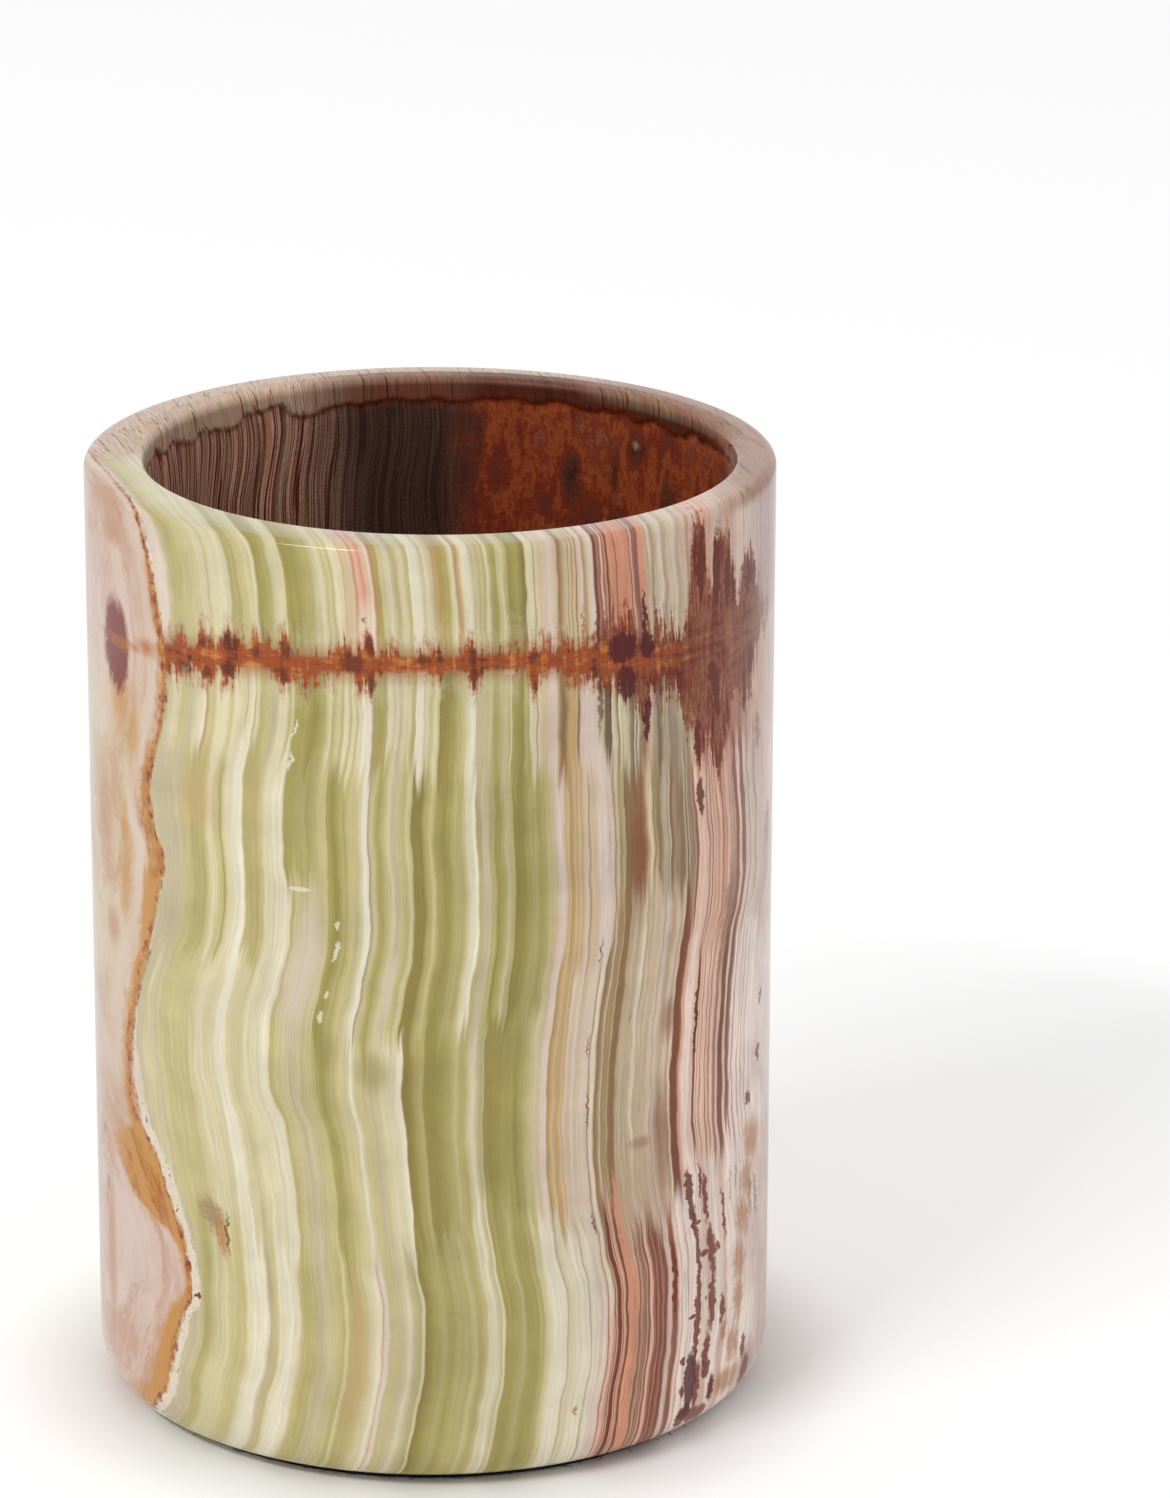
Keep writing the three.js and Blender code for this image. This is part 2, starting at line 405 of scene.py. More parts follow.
bands_middle = """
    -33 shell, -32.6 putty, -31.9 pale_straw, -31.4 putty, -31 straw, -29.3 straw, -28.7 pale_straw,
    -28.4 cream, -27.5 pale_straw, -27.1 cream, -26.8 ivory, -26.3 ivory, -26 pale_straw, -24.9 pale_straw,
    -24.5 cream, -23.6 cream, -22.9 ivory, -22.5 cream, -22.35 moss, -21.9 straw, -20.6 putty, -19 straw,
    -18.6 straw, -18.4 olive, -17.8 olive, -17.2 moss, -16.5 straw, -15.6 pale_straw, -15.25 ivory,
    -15.05 cream, -14.9 pale_straw, -14.4 straw, -13.5 putty, -12.8 pale_straw, -12 cream, -11.3 cream,
    -10.9 ivory, -10.65 ivory, -10.55 dark_olive, -10.2 dark_olive, -9.8 deep_olive, -9.4 olive, -8.75 moss,
    -8.6 moss, -8.5 deep_olive, -7.6 deep_olive, -6.5 olive, -5.8 moss, -5.3 straw, -5 moss, -4.5 moss,
    -4.2 straw, -3.8 cream, -3.5 cream, -3.2 putty, -2.75 moss, -2.55 putty, -2.45 deep_olive,
    -1.6 deep_olive, -0.2 olive, 0.6 olive, 1 deep_olive, 1.4 olive, 1.9 moss, 2.4 straw, 3 pale_straw,
    3.5 sand, 3.9 shell, 4.4 shell, 4.55 amber, 4.9 honey, 5.15 sand, 5.3 honey, 5.8 honey, 5.95 sand,
    6.2 honey, 6.4 shell, 6.8 sand, 7.2 shell, 7.5 sand, 8.3 shell, 8.8 cream, 8.95 rose, 9.1 shell,
    9.4 ivory, 9.55 sand, 9.7 taupe, 9.95 smoke, 10.1 tan, 10.3 pale_sage, 10.45 smoke, 10.65 amber,
    10.9 smoke, 11.1 sage, 11.25 taupe, 11.85 taupe, 12 sage, 12.6 putty, 13.1 sage, 13.5 pale_sage,
    13.85 ivory, 14 sage, 14.5 pale_sage, 14.7 sage, 14.85 pale_sage, 15.4 sand, 15.8 pale_sage, 16 shell,
    16.15 fawn, 16.35 shell, 16.8 pale_sage, 17.2 fawn, 17.5 sand, 17.9 shell, 18.2 fawn, 18.45 sand,
    18.6 ivory, 18.75 fawn, 18.85 umber, 19.35 burnt, 19.6 burnt, 19.75 rusty_tan, 19.9 peach,
    20.3 pale_peach, 20.8 pearl, 21.4 pale_peach, 21.65 pale_peach, 21.8 rose, 21.9 dark_umber, 22.05 umber,
    22.15 pale_peach, 22.3 pale_peach, 22.4 rose, 22.5 pale_peach, 22.75 peach, 22.85 rose,
    22.95 pale_peach, 23.3 pale_peach, 23.45 peach, 23.55 umber, 23.65 pale_peach, 23.95 peach, 24.1 rose,
    24.25 pale_peach, 24.5 pale_peach, 24.75 rose, 24.9 mauve, 25.1 pale_peach, 25.35 peach, 25.45 umber,
    26.05 umber, 26.2 pale_peach, 26.45 pale_peach, 26.55 umber, 27 mauve, 27.15 peach, 27.35 pearl,
    27.5 pearl, 27.65 rose, 27.8 pearl, 28.3 pearl, 28.45 fawn, 28.55 pearl, 28.9 pearl, 29 fawn,
    29.15 pearl, 29.6 pearl, 29.7 fawn, 29.85 pearl, 31 pearl, 36 pearl
"""
bands_lower = """
    -33 shell, -31.9 ivory, -31.6 putty, -30.9 putty, -30.5 straw, -30.4 moss, -30 moss, -29.5 pale_straw,
    -28.6 pale_straw, -27.7 straw, -27.3 straw, -27 cream, -26.5 ivory, -25.8 ivory, -25.6 cream,
    -25.5 putty, -24.9 straw, -24.6 cream, -24.1 ivory, -23.5 ivory, -23 cream, -22.9 putty, -22.6 moss,
    -21.8 moss, -20.5 putty, -19.4 straw, -18.9 moss, -18.6 pale_straw, -18.45 straw, -18.25 moss,
    -17.4 moss, -16.8 straw, -16.3 pale_straw, -15.8 cream, -15.5 ivory, -15.2 cream, -15.1 fawn,
    -14.95 shell, -14.75 shell, -14.6 cream, -14.45 putty, -13.8 straw, -13.2 putty, -12.5 cream,
    -12.1 putty, -11.4 moss, -11.15 cream, -11 putty, -10.9 dark_olive, -10.4 deep_olive, -9.8 olive,
    -9 moss, -8.3 olive, -7.4 moss, -6.4 moss, -5.8 straw, -5.3 moss, -4.9 moss, -4.6 straw, -4.2 cream,
    -3.8 cream, -3.4 ivory, -3.2 pale_straw, -2.9 putty, -2.7 cream, -2.55 pale_straw, -2.4 olive,
    -1.4 olive, -0.9 moss, -0.2 moss, 0.05 olive, 1.1 olive, 1.5 moss, 1.8 moss, 2 straw, 2.6 cream,
    3.1 ivory, 3.8 ivory, 4.3 ivory, 4.45 putty, 4.7 cream, 6 ivory, 6.8 ivory, 6.95 ash, 7.05 ivory,
    8.2 shell, 8.7 shell, 8.85 pale_blush, 8.95 burnt, 9.05 peach, 9.35 peach, 9.45 rose, 9.55 peach,
    9.7 umber, 9.8 peach, 9.95 umber, 10.35 liver, 10.45 peach, 10.6 mauve, 10.7 peach, 10.95 clay,
    11.05 umber, 11.2 umber, 11.3 salmon, 12.35 salmon, 12.5 fawn, 12.65 umber, 12.8 rose, 13 fawn,
    13.15 mauve, 13.3 rose, 13.5 mauve, 13.65 fawn, 13.85 mauve, 14 umber, 14.1 peach, 14.45 peach,
    14.6 mauve, 14.75 rose, 14.85 umber, 15 burnt, 15.25 rose, 15.35 umber, 15.55 burnt, 15.75 mauve,
    15.95 rose, 16.1 umber, 16.35 burnt, 16.5 mauve, 16.65 peach, 16.85 shell, 17.15 shell, 17.25 peach,
    17.4 mauve, 17.75 mauve, 17.9 umber, 18.05 rose, 18.2 peach, 18.4 pearl, 18.7 peach, 18.85 pearl,
    19.5 pearl, 19.6 pale_blush, 19.8 pearl, 21.6 pearl, 22.6 pale_blush, 24.2 pearl, 25.4 pale_blush,
    26 pearl, 31 pearl, 33 pale_blush, 36 pale_blush
"""

# The sheets stand turned a little from the view, and waver as they rise. Each column gives how far
# the sheets lean off their line, at the heights above, at one distance across the cup.
sheet_turn = math.radians(16)
fold_heights = (0, 8, 16, 24, 32, 38, 46, 54, 62, 72, 86, 101)
fold_columns = {
    -32: (-1.4, -0.5, 0.3, 0.1, -0.9, -1.4, -1.8, -0.8, 0.4, 0.2, 1.1, -0.9),
    -23: (-1.2, 0.2, 1.2, 0.9, 0.5, -0.3, -1.8, -0.8, 0.3, 0.1, 1.5, 0.3),
    -8: (-1.4, 0.0, 1.0, 0.1, -1.0, -1.4, -1.4, -0.7, 0.2, -0.1, 0.5, -0.4),
    3: (-1.5, -0.3, 0.5, -0.6, -1.7, -2.0, -1.7, -0.8, 0.0, -0.3, -0.4, -0.9),
    13: (-1.2, -0.1, 0.8, -0.1, -1.4, -1.7, -1.4, -0.5, 0.2, -0.1, -0.7, -2.0),
    23: (-2.2, -1.0, -0.4, -1.0, -1.6, -2.1, -1.8, -1.0, 0.35, -0.4, -1.2, -1.4),
}
most_lean = 3
back_lean = 5.0
behind_axis = (0, 36)
pink_begins = (8, 12)
ripple_width = 0.16
ripple_width_in_pink = 0.2

# A noise mostly stays this near to its middle of 0.5, and nearly always between these two.
noise_reach = 0.25
noise_spread = (0.3, 0.7)

# Here and further down, two numbers are the range of a pattern or of places over which something goes
# from none to all, and two more are how strong it is at both ends. Bare places are in millimetres.
thread_patches = (0.4, 0.6, 0.25, 0.8)
more_threads_in_pink = (0.0, 0.6)
cloud_shades = (0.9, 1.1)
hair_edges = (0.018, 0.004, 0.0, 0.5)
hairs_within = ((8, 11), (31, 28))
mist_patches = (0.47, 0.7, 0.0, 0.6)
mist_within = ((27.5, 30.5),)
stone_saturation = 1.04

# Plain noise. Each gives how often it varies in a millimetre, its detail and its roughness.
ragged_noise = (1.1, 4.0, 0.65)
thread_noise = (0.06, 2.0)
cloud_noise = (0.16, 4.0, 0.6)
speck_noise = (0.8, 6.0, 0.75)
grain_noise = (1.6, 4.0, 0.65)

# Noise drawn out into streaks. Each kind gives how often it varies in a millimetre across, inward
# and upward, and then the noise's detail and roughness.
streak_kinds = {
    "ripple": ((0.5, 0.08, 0.22), 2.0, 0.5), "back_fold": ((0.03, 0.02, 0.035), 2.0, 0.5),
    "comb": ((1.3, 0.06, 0.03), 3.0, 0.6), "spike": ((2.6, 0.1, 0.16), 3.0, 0.6),
    "thread": ((3.2, 0.05, 0.05), 3.0, 0.75), "hair": ((2.88, 0.025, 0.035), 2.0, 0.8),
    "mist": ((0.16, 0.08, 0.06), 5.0, 0.65), "spur": ((0.5, 0.2, 1.2), 2.0, 0.6),
    "rust": ((0.35, 0.1, 1.1), 4.0, 0.65), "smoke": ((0.55, 0.1, 0.14), 5.0, 0.65),
    "line": ((1.1, 0.04, 0.012), 2.0, 0.55), "cap_smoke": ((0.4, 0.1, 0.06), 5.0, 0.65),
    "smear": ((0.2, 0.2, 0.09), 8.0, 0.7),
}

# Where one list of bands gives way to the next: pairs of millimetres across and height.
cup_height = 101
seam_heights = ((-36, 86), (-30, 87.5), (-20, 88.5), (-5, 89), (5, 88.5), (15, 87), (25, 86.5), (36, 86))
under_seam_heights = ((-36, 77), (-20, 78), (-6, 76.5), (8, 77), (20, 75), (36, 76))
upper_heights = ((-36, 57), (-24, 57), (-22.9, 64), (-19.2, 64), (-18.8, 49), (-12, 49), (-8, 49),
                 (-3, 50), (2, 51), (4, 55), (9.5, 57), (10.3, 61), (18.8, 61), (20, 57), (36, 57))
middle_heights = ((-36, 29), (-5, 29), (-3, 32), (4, 28), (8.5, 26), (8.9, 17), (9.6, 18), (10.1, 30),
                  (11, 30), (12, 31), (12.2, 20), (12.4, 20), (12.8, 26), (18.3, 26.5), (20, 29), (36, 29))
tooth_height = 3.2
tooth_softness = 1.8

# A rusty seam runs across the sheets, and a brown burst breaks out of it at the right. Their upper
# and lower edges are pairs of millimetres across and height.
seam_top = ((-36, 87), (-33, 87), (-32.3, 88.6), (-31.4, 87.8), (-30.2, 89.6), (-29.4, 89), (-28.4, 90.4),
            (-27, 89.8), (-25.5, 90), (-24.8, 88.9), (-23.8, 90.8), (-23, 89), (-20, 89), (-18.5, 90.2),
            (-16.6, 90.4), (-15.8, 91.6), (-15, 89.8), (-14, 90), (-12, 89.5), (-10.6, 90.2), (-9, 89.6),
            (-7.4, 89.5), (-5.2, 90.6), (-4.4, 89.4), (-1.5, 90), (2.5, 90.2), (6.5, 89.9), (9, 89.6),
            (11, 88.2), (16, 87.7), (24, 87.6))
seam_foot = ((-36, 84.6), (-33, 85), (-31.8, 85.4), (-31, 86), (-30.2, 85.2), (-29.4, 86.4),
             (-28.6, 84.6), (-27.8, 87.2), (-25, 87.6), (-24, 86.2), (-23, 87.2), (-21.5, 86.4),
             (-20, 87.8), (-17, 87.4), (-15.8, 86), (-15, 88.3), (-12, 88.2), (-10.4, 87.9), (-9, 88.4),
             (-6, 88.4), (-5.2, 86.6), (-4.4, 88.3), (0.8, 88), (1.6, 85.6), (2.2, 87.3), (6, 86.8),
             (9, 86), (16, 85.9), (24, 86.3))
burst_top = ((8.4, 88.4), (9.2, 90.4), (13, 90.6), (13.8, 89.2), (15.4, 90.2), (17, 89.4), (20, 90.2),
             (20.6, 96.5), (21.3, 100), (22.3, 99), (22.8, 92), (23.2, 91.5), (23.7, 97.4), (25.3, 97),
             (26.2, 94), (26.9, 90.6), (27.6, 91.5), (28.3, 94.3), (29.4, 94), (30.2, 91), (32, 88),
             (36, 87.5))
burst_foot = ((8.4, 86.8), (9, 85.6), (11, 84.8), (12.6, 84), (13.6, 81.5), (14.9, 84.4), (16.5, 83.6),
              (18.4, 83.6), (19.5, 79.5), (20.3, 78.6), (20.8, 75), (21.5, 76), (22.1, 77.6), (22.7, 77),
              (23.1, 74.4), (24.5, 76), (25.2, 78), (26, 79), (26.7, 82), (27.3, 80), (28.6, 79.4),
              (29.6, 83), (31, 85.5), (36, 86.5))
seam_spikes = 1.5
burst_spikes = 2.6
spike_dips = -0.7
noise_on_spikes = 0.6
raggedness = (0.62, 0.98)
seam_core = (0, 4, 0.9, -3.1)
seam_starts_over = 0.6
seam_ends_over = 7
burst_faded = (1.0, 0.2)
rust_halo = (-1.8, 0.3, 0.0, 0.65)
rust_body = (-0.2, 0.5)
brown_near_seam = (6.5, 1.5, 0.0, 0.85)
brown_wander = 2.5
bleached_near_seam = (2.5, 6.5, 0.45, 0.0)
bleached_wander = 4.0
seam_rusts = "0.4 dark_rust, 0.46 rust, 0.53 rust, 0.6 orange, 0.72 apricot"
seam_browns = "0.38 dark_liver, 0.45 liver, 0.52 burnt, 0.6 rusty_tan, 0.68 clay"
burst_browns = """
    0.39 dark_liver, 0.44 liver, 0.48 burnt, 0.505 rusty_tan, 0.53 liver, 0.56 burnt, 0.6 rusty_tan,
    0.64 clay, 0.68 pale_blush
"""

# Stains in groups. A group gives its colour, how strongly it covers, and the share of a stain's size
# at which it is full. Each stain is a place across, a height, and its half width and half height.
sheet_smudges = (
    ("shell", 0.6, 0.2, ((-20.8, 55.5, 2.2, 9.5), (-12.6, 54.5, 0.7, 5))),
    ("deep_olive", 0.6, 0.2, ((-13.3, 45.4, 2.4, 3.0), (-0.4, 47, 2.4, 5), (-17.8, 47, 1.4, 4))),
    ("honey", 0.6, 0.2, ((-30, 72.3, 1.7, 4.4), (-17.3, 14, 1.4, 12), (5.6, 81, 0.8, 4))),
    ("ivory", 0.6, 0.2, ((-16, 92.5, 1.2, 4),)),
    ("burnt", 0.6, 0.2, ((12.8, 66, 1.5, 8.5), (17.6, 35, 1.6, 9), (17.4, 34.5, 0.8, 5), (18.1, 48, 1.3, 3.4),
                         (14.8, 35.2, 2, 1), (29.8, 4, 2.4, 4))),
    ("fawn", 0.6, 0.2, ((14.8, 31, 3.4, 7), (13, 28.5, 1.4, 4))),
)
sheet_stains = (
    ("taupe", 0.7, 0.5, ((-29.3, 27, 0.9, 2.6),)),
    ("burnt", 0.6, 0.5, ((25.2, 56.5, 1.1, 8), (30, 74.5, 0.8, 2.8), (31.6, 63, 0.7, 3.4))),
    ("tawny", 0.8, 0.35, (
        (30.6, 29.5, 2, 3.6), (29.4, 25.5, 1.7, 3.8), (28.4, 21.5, 1.7, 4), (27.6, 17, 1.5, 4),
        (27.5, 12.5, 1.2, 4), (27.1, 8, 1.3, 3.4), (26.5, 4.2, 2.6, 2.2), (25.4, 10, 0.8, 1.6),
        (6.2, 7, 0.3, 0.8), (7.2, 92, 0.3, 3), (-28.7, 25, 0.7, 3.2))),
    ("taupe", 0.7, 0.5, (
        (29.8, 23, 0.35, 3.4), (30.8, 22.5, 0.4, 3.6), (26.8, 26, 0.15, 3), (27.6, 26.5, 0.15, 2.5))),
    ("ivory", 0.8, 0.7, (
        (-22.7, 78, 0.2, 1.2), (-22.8, 81.5, 0.18, 1.2), (-21.6, 64.5, 1.2, 0.3), (-18.3, 61, 0.3, 0.6),
        (-18.2, 58.2, 0.3, 1.3), (-18.3, 53.5, 0.25, 0.5), (-18.3, 51, 0.3, 0.8), (-1, 87.9, 1.1, 0.4),
        (3, 88.2, 1.2, 0.5), (22.2, 13, 0.4, 5), (24.4, 16, 0.4, 4), (18.3, 88.7, 0.8, 0.6))),
    ("liver", 0.92, 0.7, (
        (21.2, 19, 0.45, 9), (21.1, 13, 0.5, 7), (23.4, 20, 0.7, 4), (23.3, 14.5, 0.6, 4.4),
        (22.9, 26.5, 0.4, 3.6), (24.9, 12.8, 0.45, 2), (19.5, 9, 0.6, 0.6), (19.6, 5.6, 0.6, 0.8),
        (22.9, 9, 0.5, 2.6), (22.2, 20.2, 0.8, 0.5), (25.4, 23.5, 0.25, 3.6), (24.2, 20.2, 0.3, 0.7),
        (17.7, 19, 0.4, 6),
        (20, 2.4, 0.9, 1.6), (21.8, 2.2, 1.2, 1.4), (23.2, 2, 0.9, 1.2), (24.2, 4.6, 0.6, 2),
        (32.6, 44.5, 0.3, 1), (32.3, 38.5, 0.4, 1.2), (30.2, 34.5, 0.4, 1), (29.7, 3.4, 1, 2.4),
        (29.1, 6.6, 0.5, 1.7), (21.9, 5.6, 0.7, 3), (22.4, 15, 0.25, 0.3), (20.4, 13.6, 0.9, 0.3),
        (21.7, 24, 0.7, 0.3))),
    ("salmon", 0.8, 0.5, ((11.75, 27.5, 0.5, 6.5),)),
)
seam_stains = (
    ("dark_rust", 0.75, 0.5, (
        (-31.9, 85.8, 0.5, 0.9), (-30.2, 89, 0.45, 1.1), (-30.2, 85.9, 0.4, 0.9), (-28.3, 89.6, 0.8, 1.4),
        (-28.4, 86.6, 0.8, 1.3), (-26.3, 89, 0.6, 0.9), (-23.8, 89.6, 0.6, 1.3), (-23.9, 86.9, 0.5, 1.1),
        (-15.7, 90.8, 0.5, 1.8), (-15.7, 86.9, 0.7, 1.4), (-17.3, 88.8, 1.7, 1.4), (-10.4, 89.4, 0.9, 0.9),
        (-5.2, 89.6, 0.65, 1.4), (-5.2, 87.4, 0.55, 1.3), (1.5, 89.2, 0.8, 0.9), (1.6, 86, 0.25, 1.2),
        (8.8, 84, 0.4, 5), (8.8, 91, 0.25, 4), (-16.1, 93.4, 0.25, 0.5), (-28.2, 25.5, 0.18, 3.2),
        (8.7, 57, 0.14, 2.2), (8.8, 47, 0.12, 1.6), (8.9, 40, 0.12, 2.5), (8.8, 27.5, 0.16, 1.6))),
    ("dark_liver", 0.9, 0.75, (
        (20.7, 28.1, 0.6, 2.8), (20.9, 25, 0.35, 2.2), (20.6, 3, 1.1, 1.2), (23.3, 7, 0.7, 1.3),
        (24.2, 4.4, 0.5, 1.6), (22.3, 28.5, 0.25, 2.4), (20.95, 70.8, 0.65, 2.4), (21.9, 47, 0.22, 5),
        (21.8, 95.5, 0.7, 4.6), (24.1, 94, 0.5, 4.4), (25.5, 93, 0.5, 3.8), (28.8, 92, 0.75, 2.6),
        (23.8, 81, 0.6, 3.5), (20.8, 77, 0.5, 3), (23.3, 83.6, 0.8, 1.8), (29, 83, 0.6, 1.8))),
    ("maroon", 0.92, 0.8, (
        (11.6, 88.9, 2.0, 1.9), (11.9, 85.2, 1.2, 2.2), (14.7, 88.7, 1.0, 1.8), (14.6, 92, 0.25, 2.8),
        (14.2, 80.8, 0.5, 2.6), (20.8, 6.2, 1.0, 4.2))),
)
stain_edge = 1.05
stain_spurs = (0.35, 0.65, -0.2, 0.2)
stains_fade_behind = (0, 16, 0.0, 1.5)
less_ragged_share = 0.6

# The left side is capped by a pinkish calcite of its own. A rusty crack parts it from the sheets.
# The crack is pairs of height and millimetres across. Amber fills it from the cap's side, as pairs of
# height and width. The cap's own stains give a place inward in place of the one across.
cap_crack = ((0, -33.3), (2.5, -33.5), (5, -32.9), (8, -32.5), (12, -32), (15, -31.5), (17.5, -30.9),
             (20, -31), (24, -31.6), (27, -32.3), (30, -33), (33, -33.9), (36, -34.6), (40, -34.8),
             (45, -34.6), (50, -34.1), (57, -33.2), (62, -32.7), (64, -32.4), (67, -33), (71, -33.3),
             (75, -32.9), (80, -32.3), (85, -32.1), (90, -32.4), (95, -33), (101, -33.9))
amber_widths = ((0, 2.6), (8, 3), (16, 2.2), (19, 1), (22, 1.6), (24.5, 5), (26, 7), (29, 6.8), (32, 4.2),
                (34, 1.8), (37, 1.3), (50, 1.5), (60, 2.2), (64, 2.6), (70, 1.8), (75, 1.4), (85, 1),
                (92, 1.2), (97, 0.6), (101, 0.4))
crack_reach = (-36, -30)
widest_amber = 12
surface_mm_per_mm_across = 2.4
back_fold_of_crack = 0.8
cap_border = (-0.2, 0.2)
crack_wave = (0, 1, -0.45, 0.45)
cap_clouds = ((0.5, 0.35, "shell"), (0.48, 0.62, "clay"))
cap_cloud_strength = 0.6
rusty_amber_heights = (61, 67, 0.0, 0.6)
pale_edge = (2.6, 1.0, 0.0, 0.6)
pale_edge_heights = (34, 38)
amber_edge = (0.7, -0.7, 0.0, 0.9)
margin_span = (-1.9, -1.4, -0.3)
margin_heights = (38, 34)
crack_span = (-0.3, 0.0, 0.25)
crack_speckle = (0.6, 0.42, 0.25, 0.95)
crack_softness = 0.5
cap_colours = "0 dusty_pink, 24 dusty_pink, 34 fawn, 50 sand, 76 sand, 88 dusty_pink, 101 fawn"
ambers = "0.36 rust, 0.43 deep_ochre, 0.5 ochre, 0.6 ochre, 0.68 clay"
crack_rusts = "0.38 liver, 0.45 rust, 0.52 deep_ochre, 0.6 ochre"
crack_dots = "0.38 liver, 0.42 ivory, 0.6 shell"
cap_smudges = (
    ("clay", 0.75, 0.2, ((-6.4, 97, 3.4, 2.2), (-2.6, 17, 2.2, 14), (-5.2, 54, 2.6, 3), (-3, 66, 4, 9))),
    ("ochre", 0.75, 0.2, (
        (-9.2, 29.5, 3.8, 4.4), (-12.6, 27, 2.6, 4), (-9, 60, 2.4, 7), (-10, 50, 1, 7), (-11, 74, 2, 8),
        (-8.6, 66, 1.4, 5), (-4, 42, 2.4, 3), (-8, 80, 3, 5))),
)
cap_stains = (
    ("wine", 0.9, 0.7, ((-7.3, 85, 3.6, 6),)),
    ("deep_ochre", 0.85, 0.1, (
        (-9.5, 85.8, 9, 0.8), (-8, 85.4, 4, 0.9), (-13.4, 86.4, 3, 1.3), (-16, 86.6, 2.4, 1.5))),
    ("mauve", 0.6, 0.5, ((-0.6, 29.8, 0.8, 0.9), (-1.6, 24, 0.8, 1.3), (-1, 22, 0.4, 1))),
)

# The lines on the rim, and the drilled wall behind: lined at the left and rusty at the right, with
# dark cracks and crystal knots. The wall's stains are places to the right of the axis and heights.
rim_lines = """
    0.26 umber, 0.3 fawn, 0.345 dusty_pink, 0.36 umber, 0.375 fawn, 0.42 sand, 0.435 rose, 0.45 fawn,
    0.48 pale_blush, 0.492 burnt, 0.503 burnt, 0.515 sand, 0.545 dusty_pink, 0.56 rose, 0.575 sand,
    0.605 putty, 0.62 umber, 0.635 cream, 0.68 tan, 0.72 moss
"""
wall_lines = """
    0.3 dark_liver, 0.36 blush, 0.4 burnt, 0.43 black_brown, 0.46 clay, 0.49 blush, 0.51 dark_liver,
    0.54 black_brown, 0.56 blush, 0.59 umber, 0.62 sand, 0.66 burnt
"""
wall_rusts = "0.3 black_brown, 0.4 dark_rust, 0.47 liver, 0.52 rust, 0.57 liver, 0.63 burnt, 0.68 liver"
wall_stains = (
    ("black_brown", 0.75, 0.3, (
        (19.3, 91.5, 0.7, 4.5), (18.2, 85.5, 1.8, 1.8), (21.6, 95, 1.5, 1.5), (25, 87, 2, 9),
        (15, 97.5, 1.6, 1))),
    ("tan", 0.7, 0.3, ((21.6, 95.4, 0.7, 0.8), (18.2, 86, 0.7, 0.8))),
)
back_begins_at_left = (-34 * mm, -20 * mm, 12 * mm, 0.0)
back_begins = (3 * mm, 12 * mm)
black_wall_across = (-18 * mm, -7 * mm, 0.0, 0.93)
rusty_wall_across = (0, 6 * mm)
lines_lean = -0.35
lined_heights = (90, 99.5)
rim_top_heights = (99.2, 100.4)
rim_right_across = (22, 28, 0.0, 0.7)
rim_edge_heights = (100.9, 100.2, 0.75, 1.0)
lip_marks = (-6, -5)
# A dark liver line just under the ragged lip, in the chipped step: partly stain, partly painted shade.
lip_middle = 0.3
lip_wander = 2.0
lip_line_stain_and_shade = (1.5, 0.4, 0.0, 0.85)
# How strongly the whole drilled wall is darkened with tan: painted shade inside the bore.
bore_painted_shade = 0.75
back_lip_dulling = 0.6
grain_depth = 0.3 * mm
grain_strengths = (0.02, 0.6)
bump_filter = 0.1
ramp_stops = 32


def curve_through(add, value, points, low, high):
    """A smooth curve through points. The curve node works from 0 to 1, so real sizes are fitted to it."""
    first, last = points[0][0], points[-1][0]
    node = add("FloatCurve", 1.0, add("MapRange", value, first, last))
    stops = node.mapping.curves[0].points
    fitted = [((x - first) / (last - first), (y - low) / (high - low)) for x, y in points]
    stops[0].location, stops[1].location = fitted[0], fitted[-1]
    for x, y in fitted[1:-1]:
        stops.new(x, y)
    node.mapping.update()
    return add("MapRange", node, 0, 1, low, high)


def sheet_fold(add, across, height):
    """How far the sheets lean at a height, with one curve for each column and a blend between columns."""
    lean = None
    before = None
    for column, leans in fold_columns.items():
        curve = curve_through(add, height, list(zip(fold_heights, leans)), -most_lean, most_lean)
        if lean:
            curve = add("Mix", add("MapRange", across, before, column), lean, curve)
        lean, before = curve, column
    return lean


def band_colours(add, across, bands):
    """Colours along a line, from places and colour names. A ramp holds only so many stops, so a long
    list takes several ramps."""
    stops = [(float(place), onyx_colours[name]) for place, name in map(str.split, bands.split(","))]
    colours = None
    for first in range(0, len(stops) - 1, ramp_stops - 1):
        part = stops[first:first + ramp_stops]
        start, end = part[0][0], part[-1][0]
        ramp = add("ValToRGB", add("MapRange", across, start, end))
        elements = ramp.color_ramp.elements
        elements[0].color, elements[1].color = part[0][1], part[-1][1]
        for place, colour in part[1:-1]:
            elements.new((place - start) / (end - start)).color = colour
        if colours:
            past = add("Math", across, start, operation="GREATER_THAN")
            ramp = add("Mix", past, colours, ramp, data_type="RGBA")
        colours = ramp
    return colours


def streaks(add, place, kind):
    """Noise drawn out into streaks, of one of the kinds listed above."""
    often, detail, roughness = streak_kinds[kind]
    return add("TexNoise", add("VectorMath", place, often, operation="MULTIPLY"), 1.0, detail, roughness)


def stained(add, colours, place, groups):
    """Lays groups of stains over the colours. place holds across, height and how much is worn away."""
    for colour, strength, full_inside, stains in groups:
        cover = None
        for across, height, half_width, half_height in stains:
            scale = (1 / half_width, 1 / half_height, 1)
            middle = (-across / half_width, -height / half_height, 0)
            near = add("VectorMath", place, scale, middle, operation="MULTIPLY_ADD")
            near = add("VectorMath", near, operation="LENGTH").outputs["Value"]
            mask = add("MapRange", near, stain_edge, full_inside, interpolation_type="SMOOTHSTEP")
            cover = add("Math", mask, cover, operation="MAXIMUM") if cover else mask
        cover = add("Math", cover, strength, operation="MULTIPLY")
        colours = add("Mix", cover, colours, onyx_colours[colour], data_type="RGBA")
    return colours


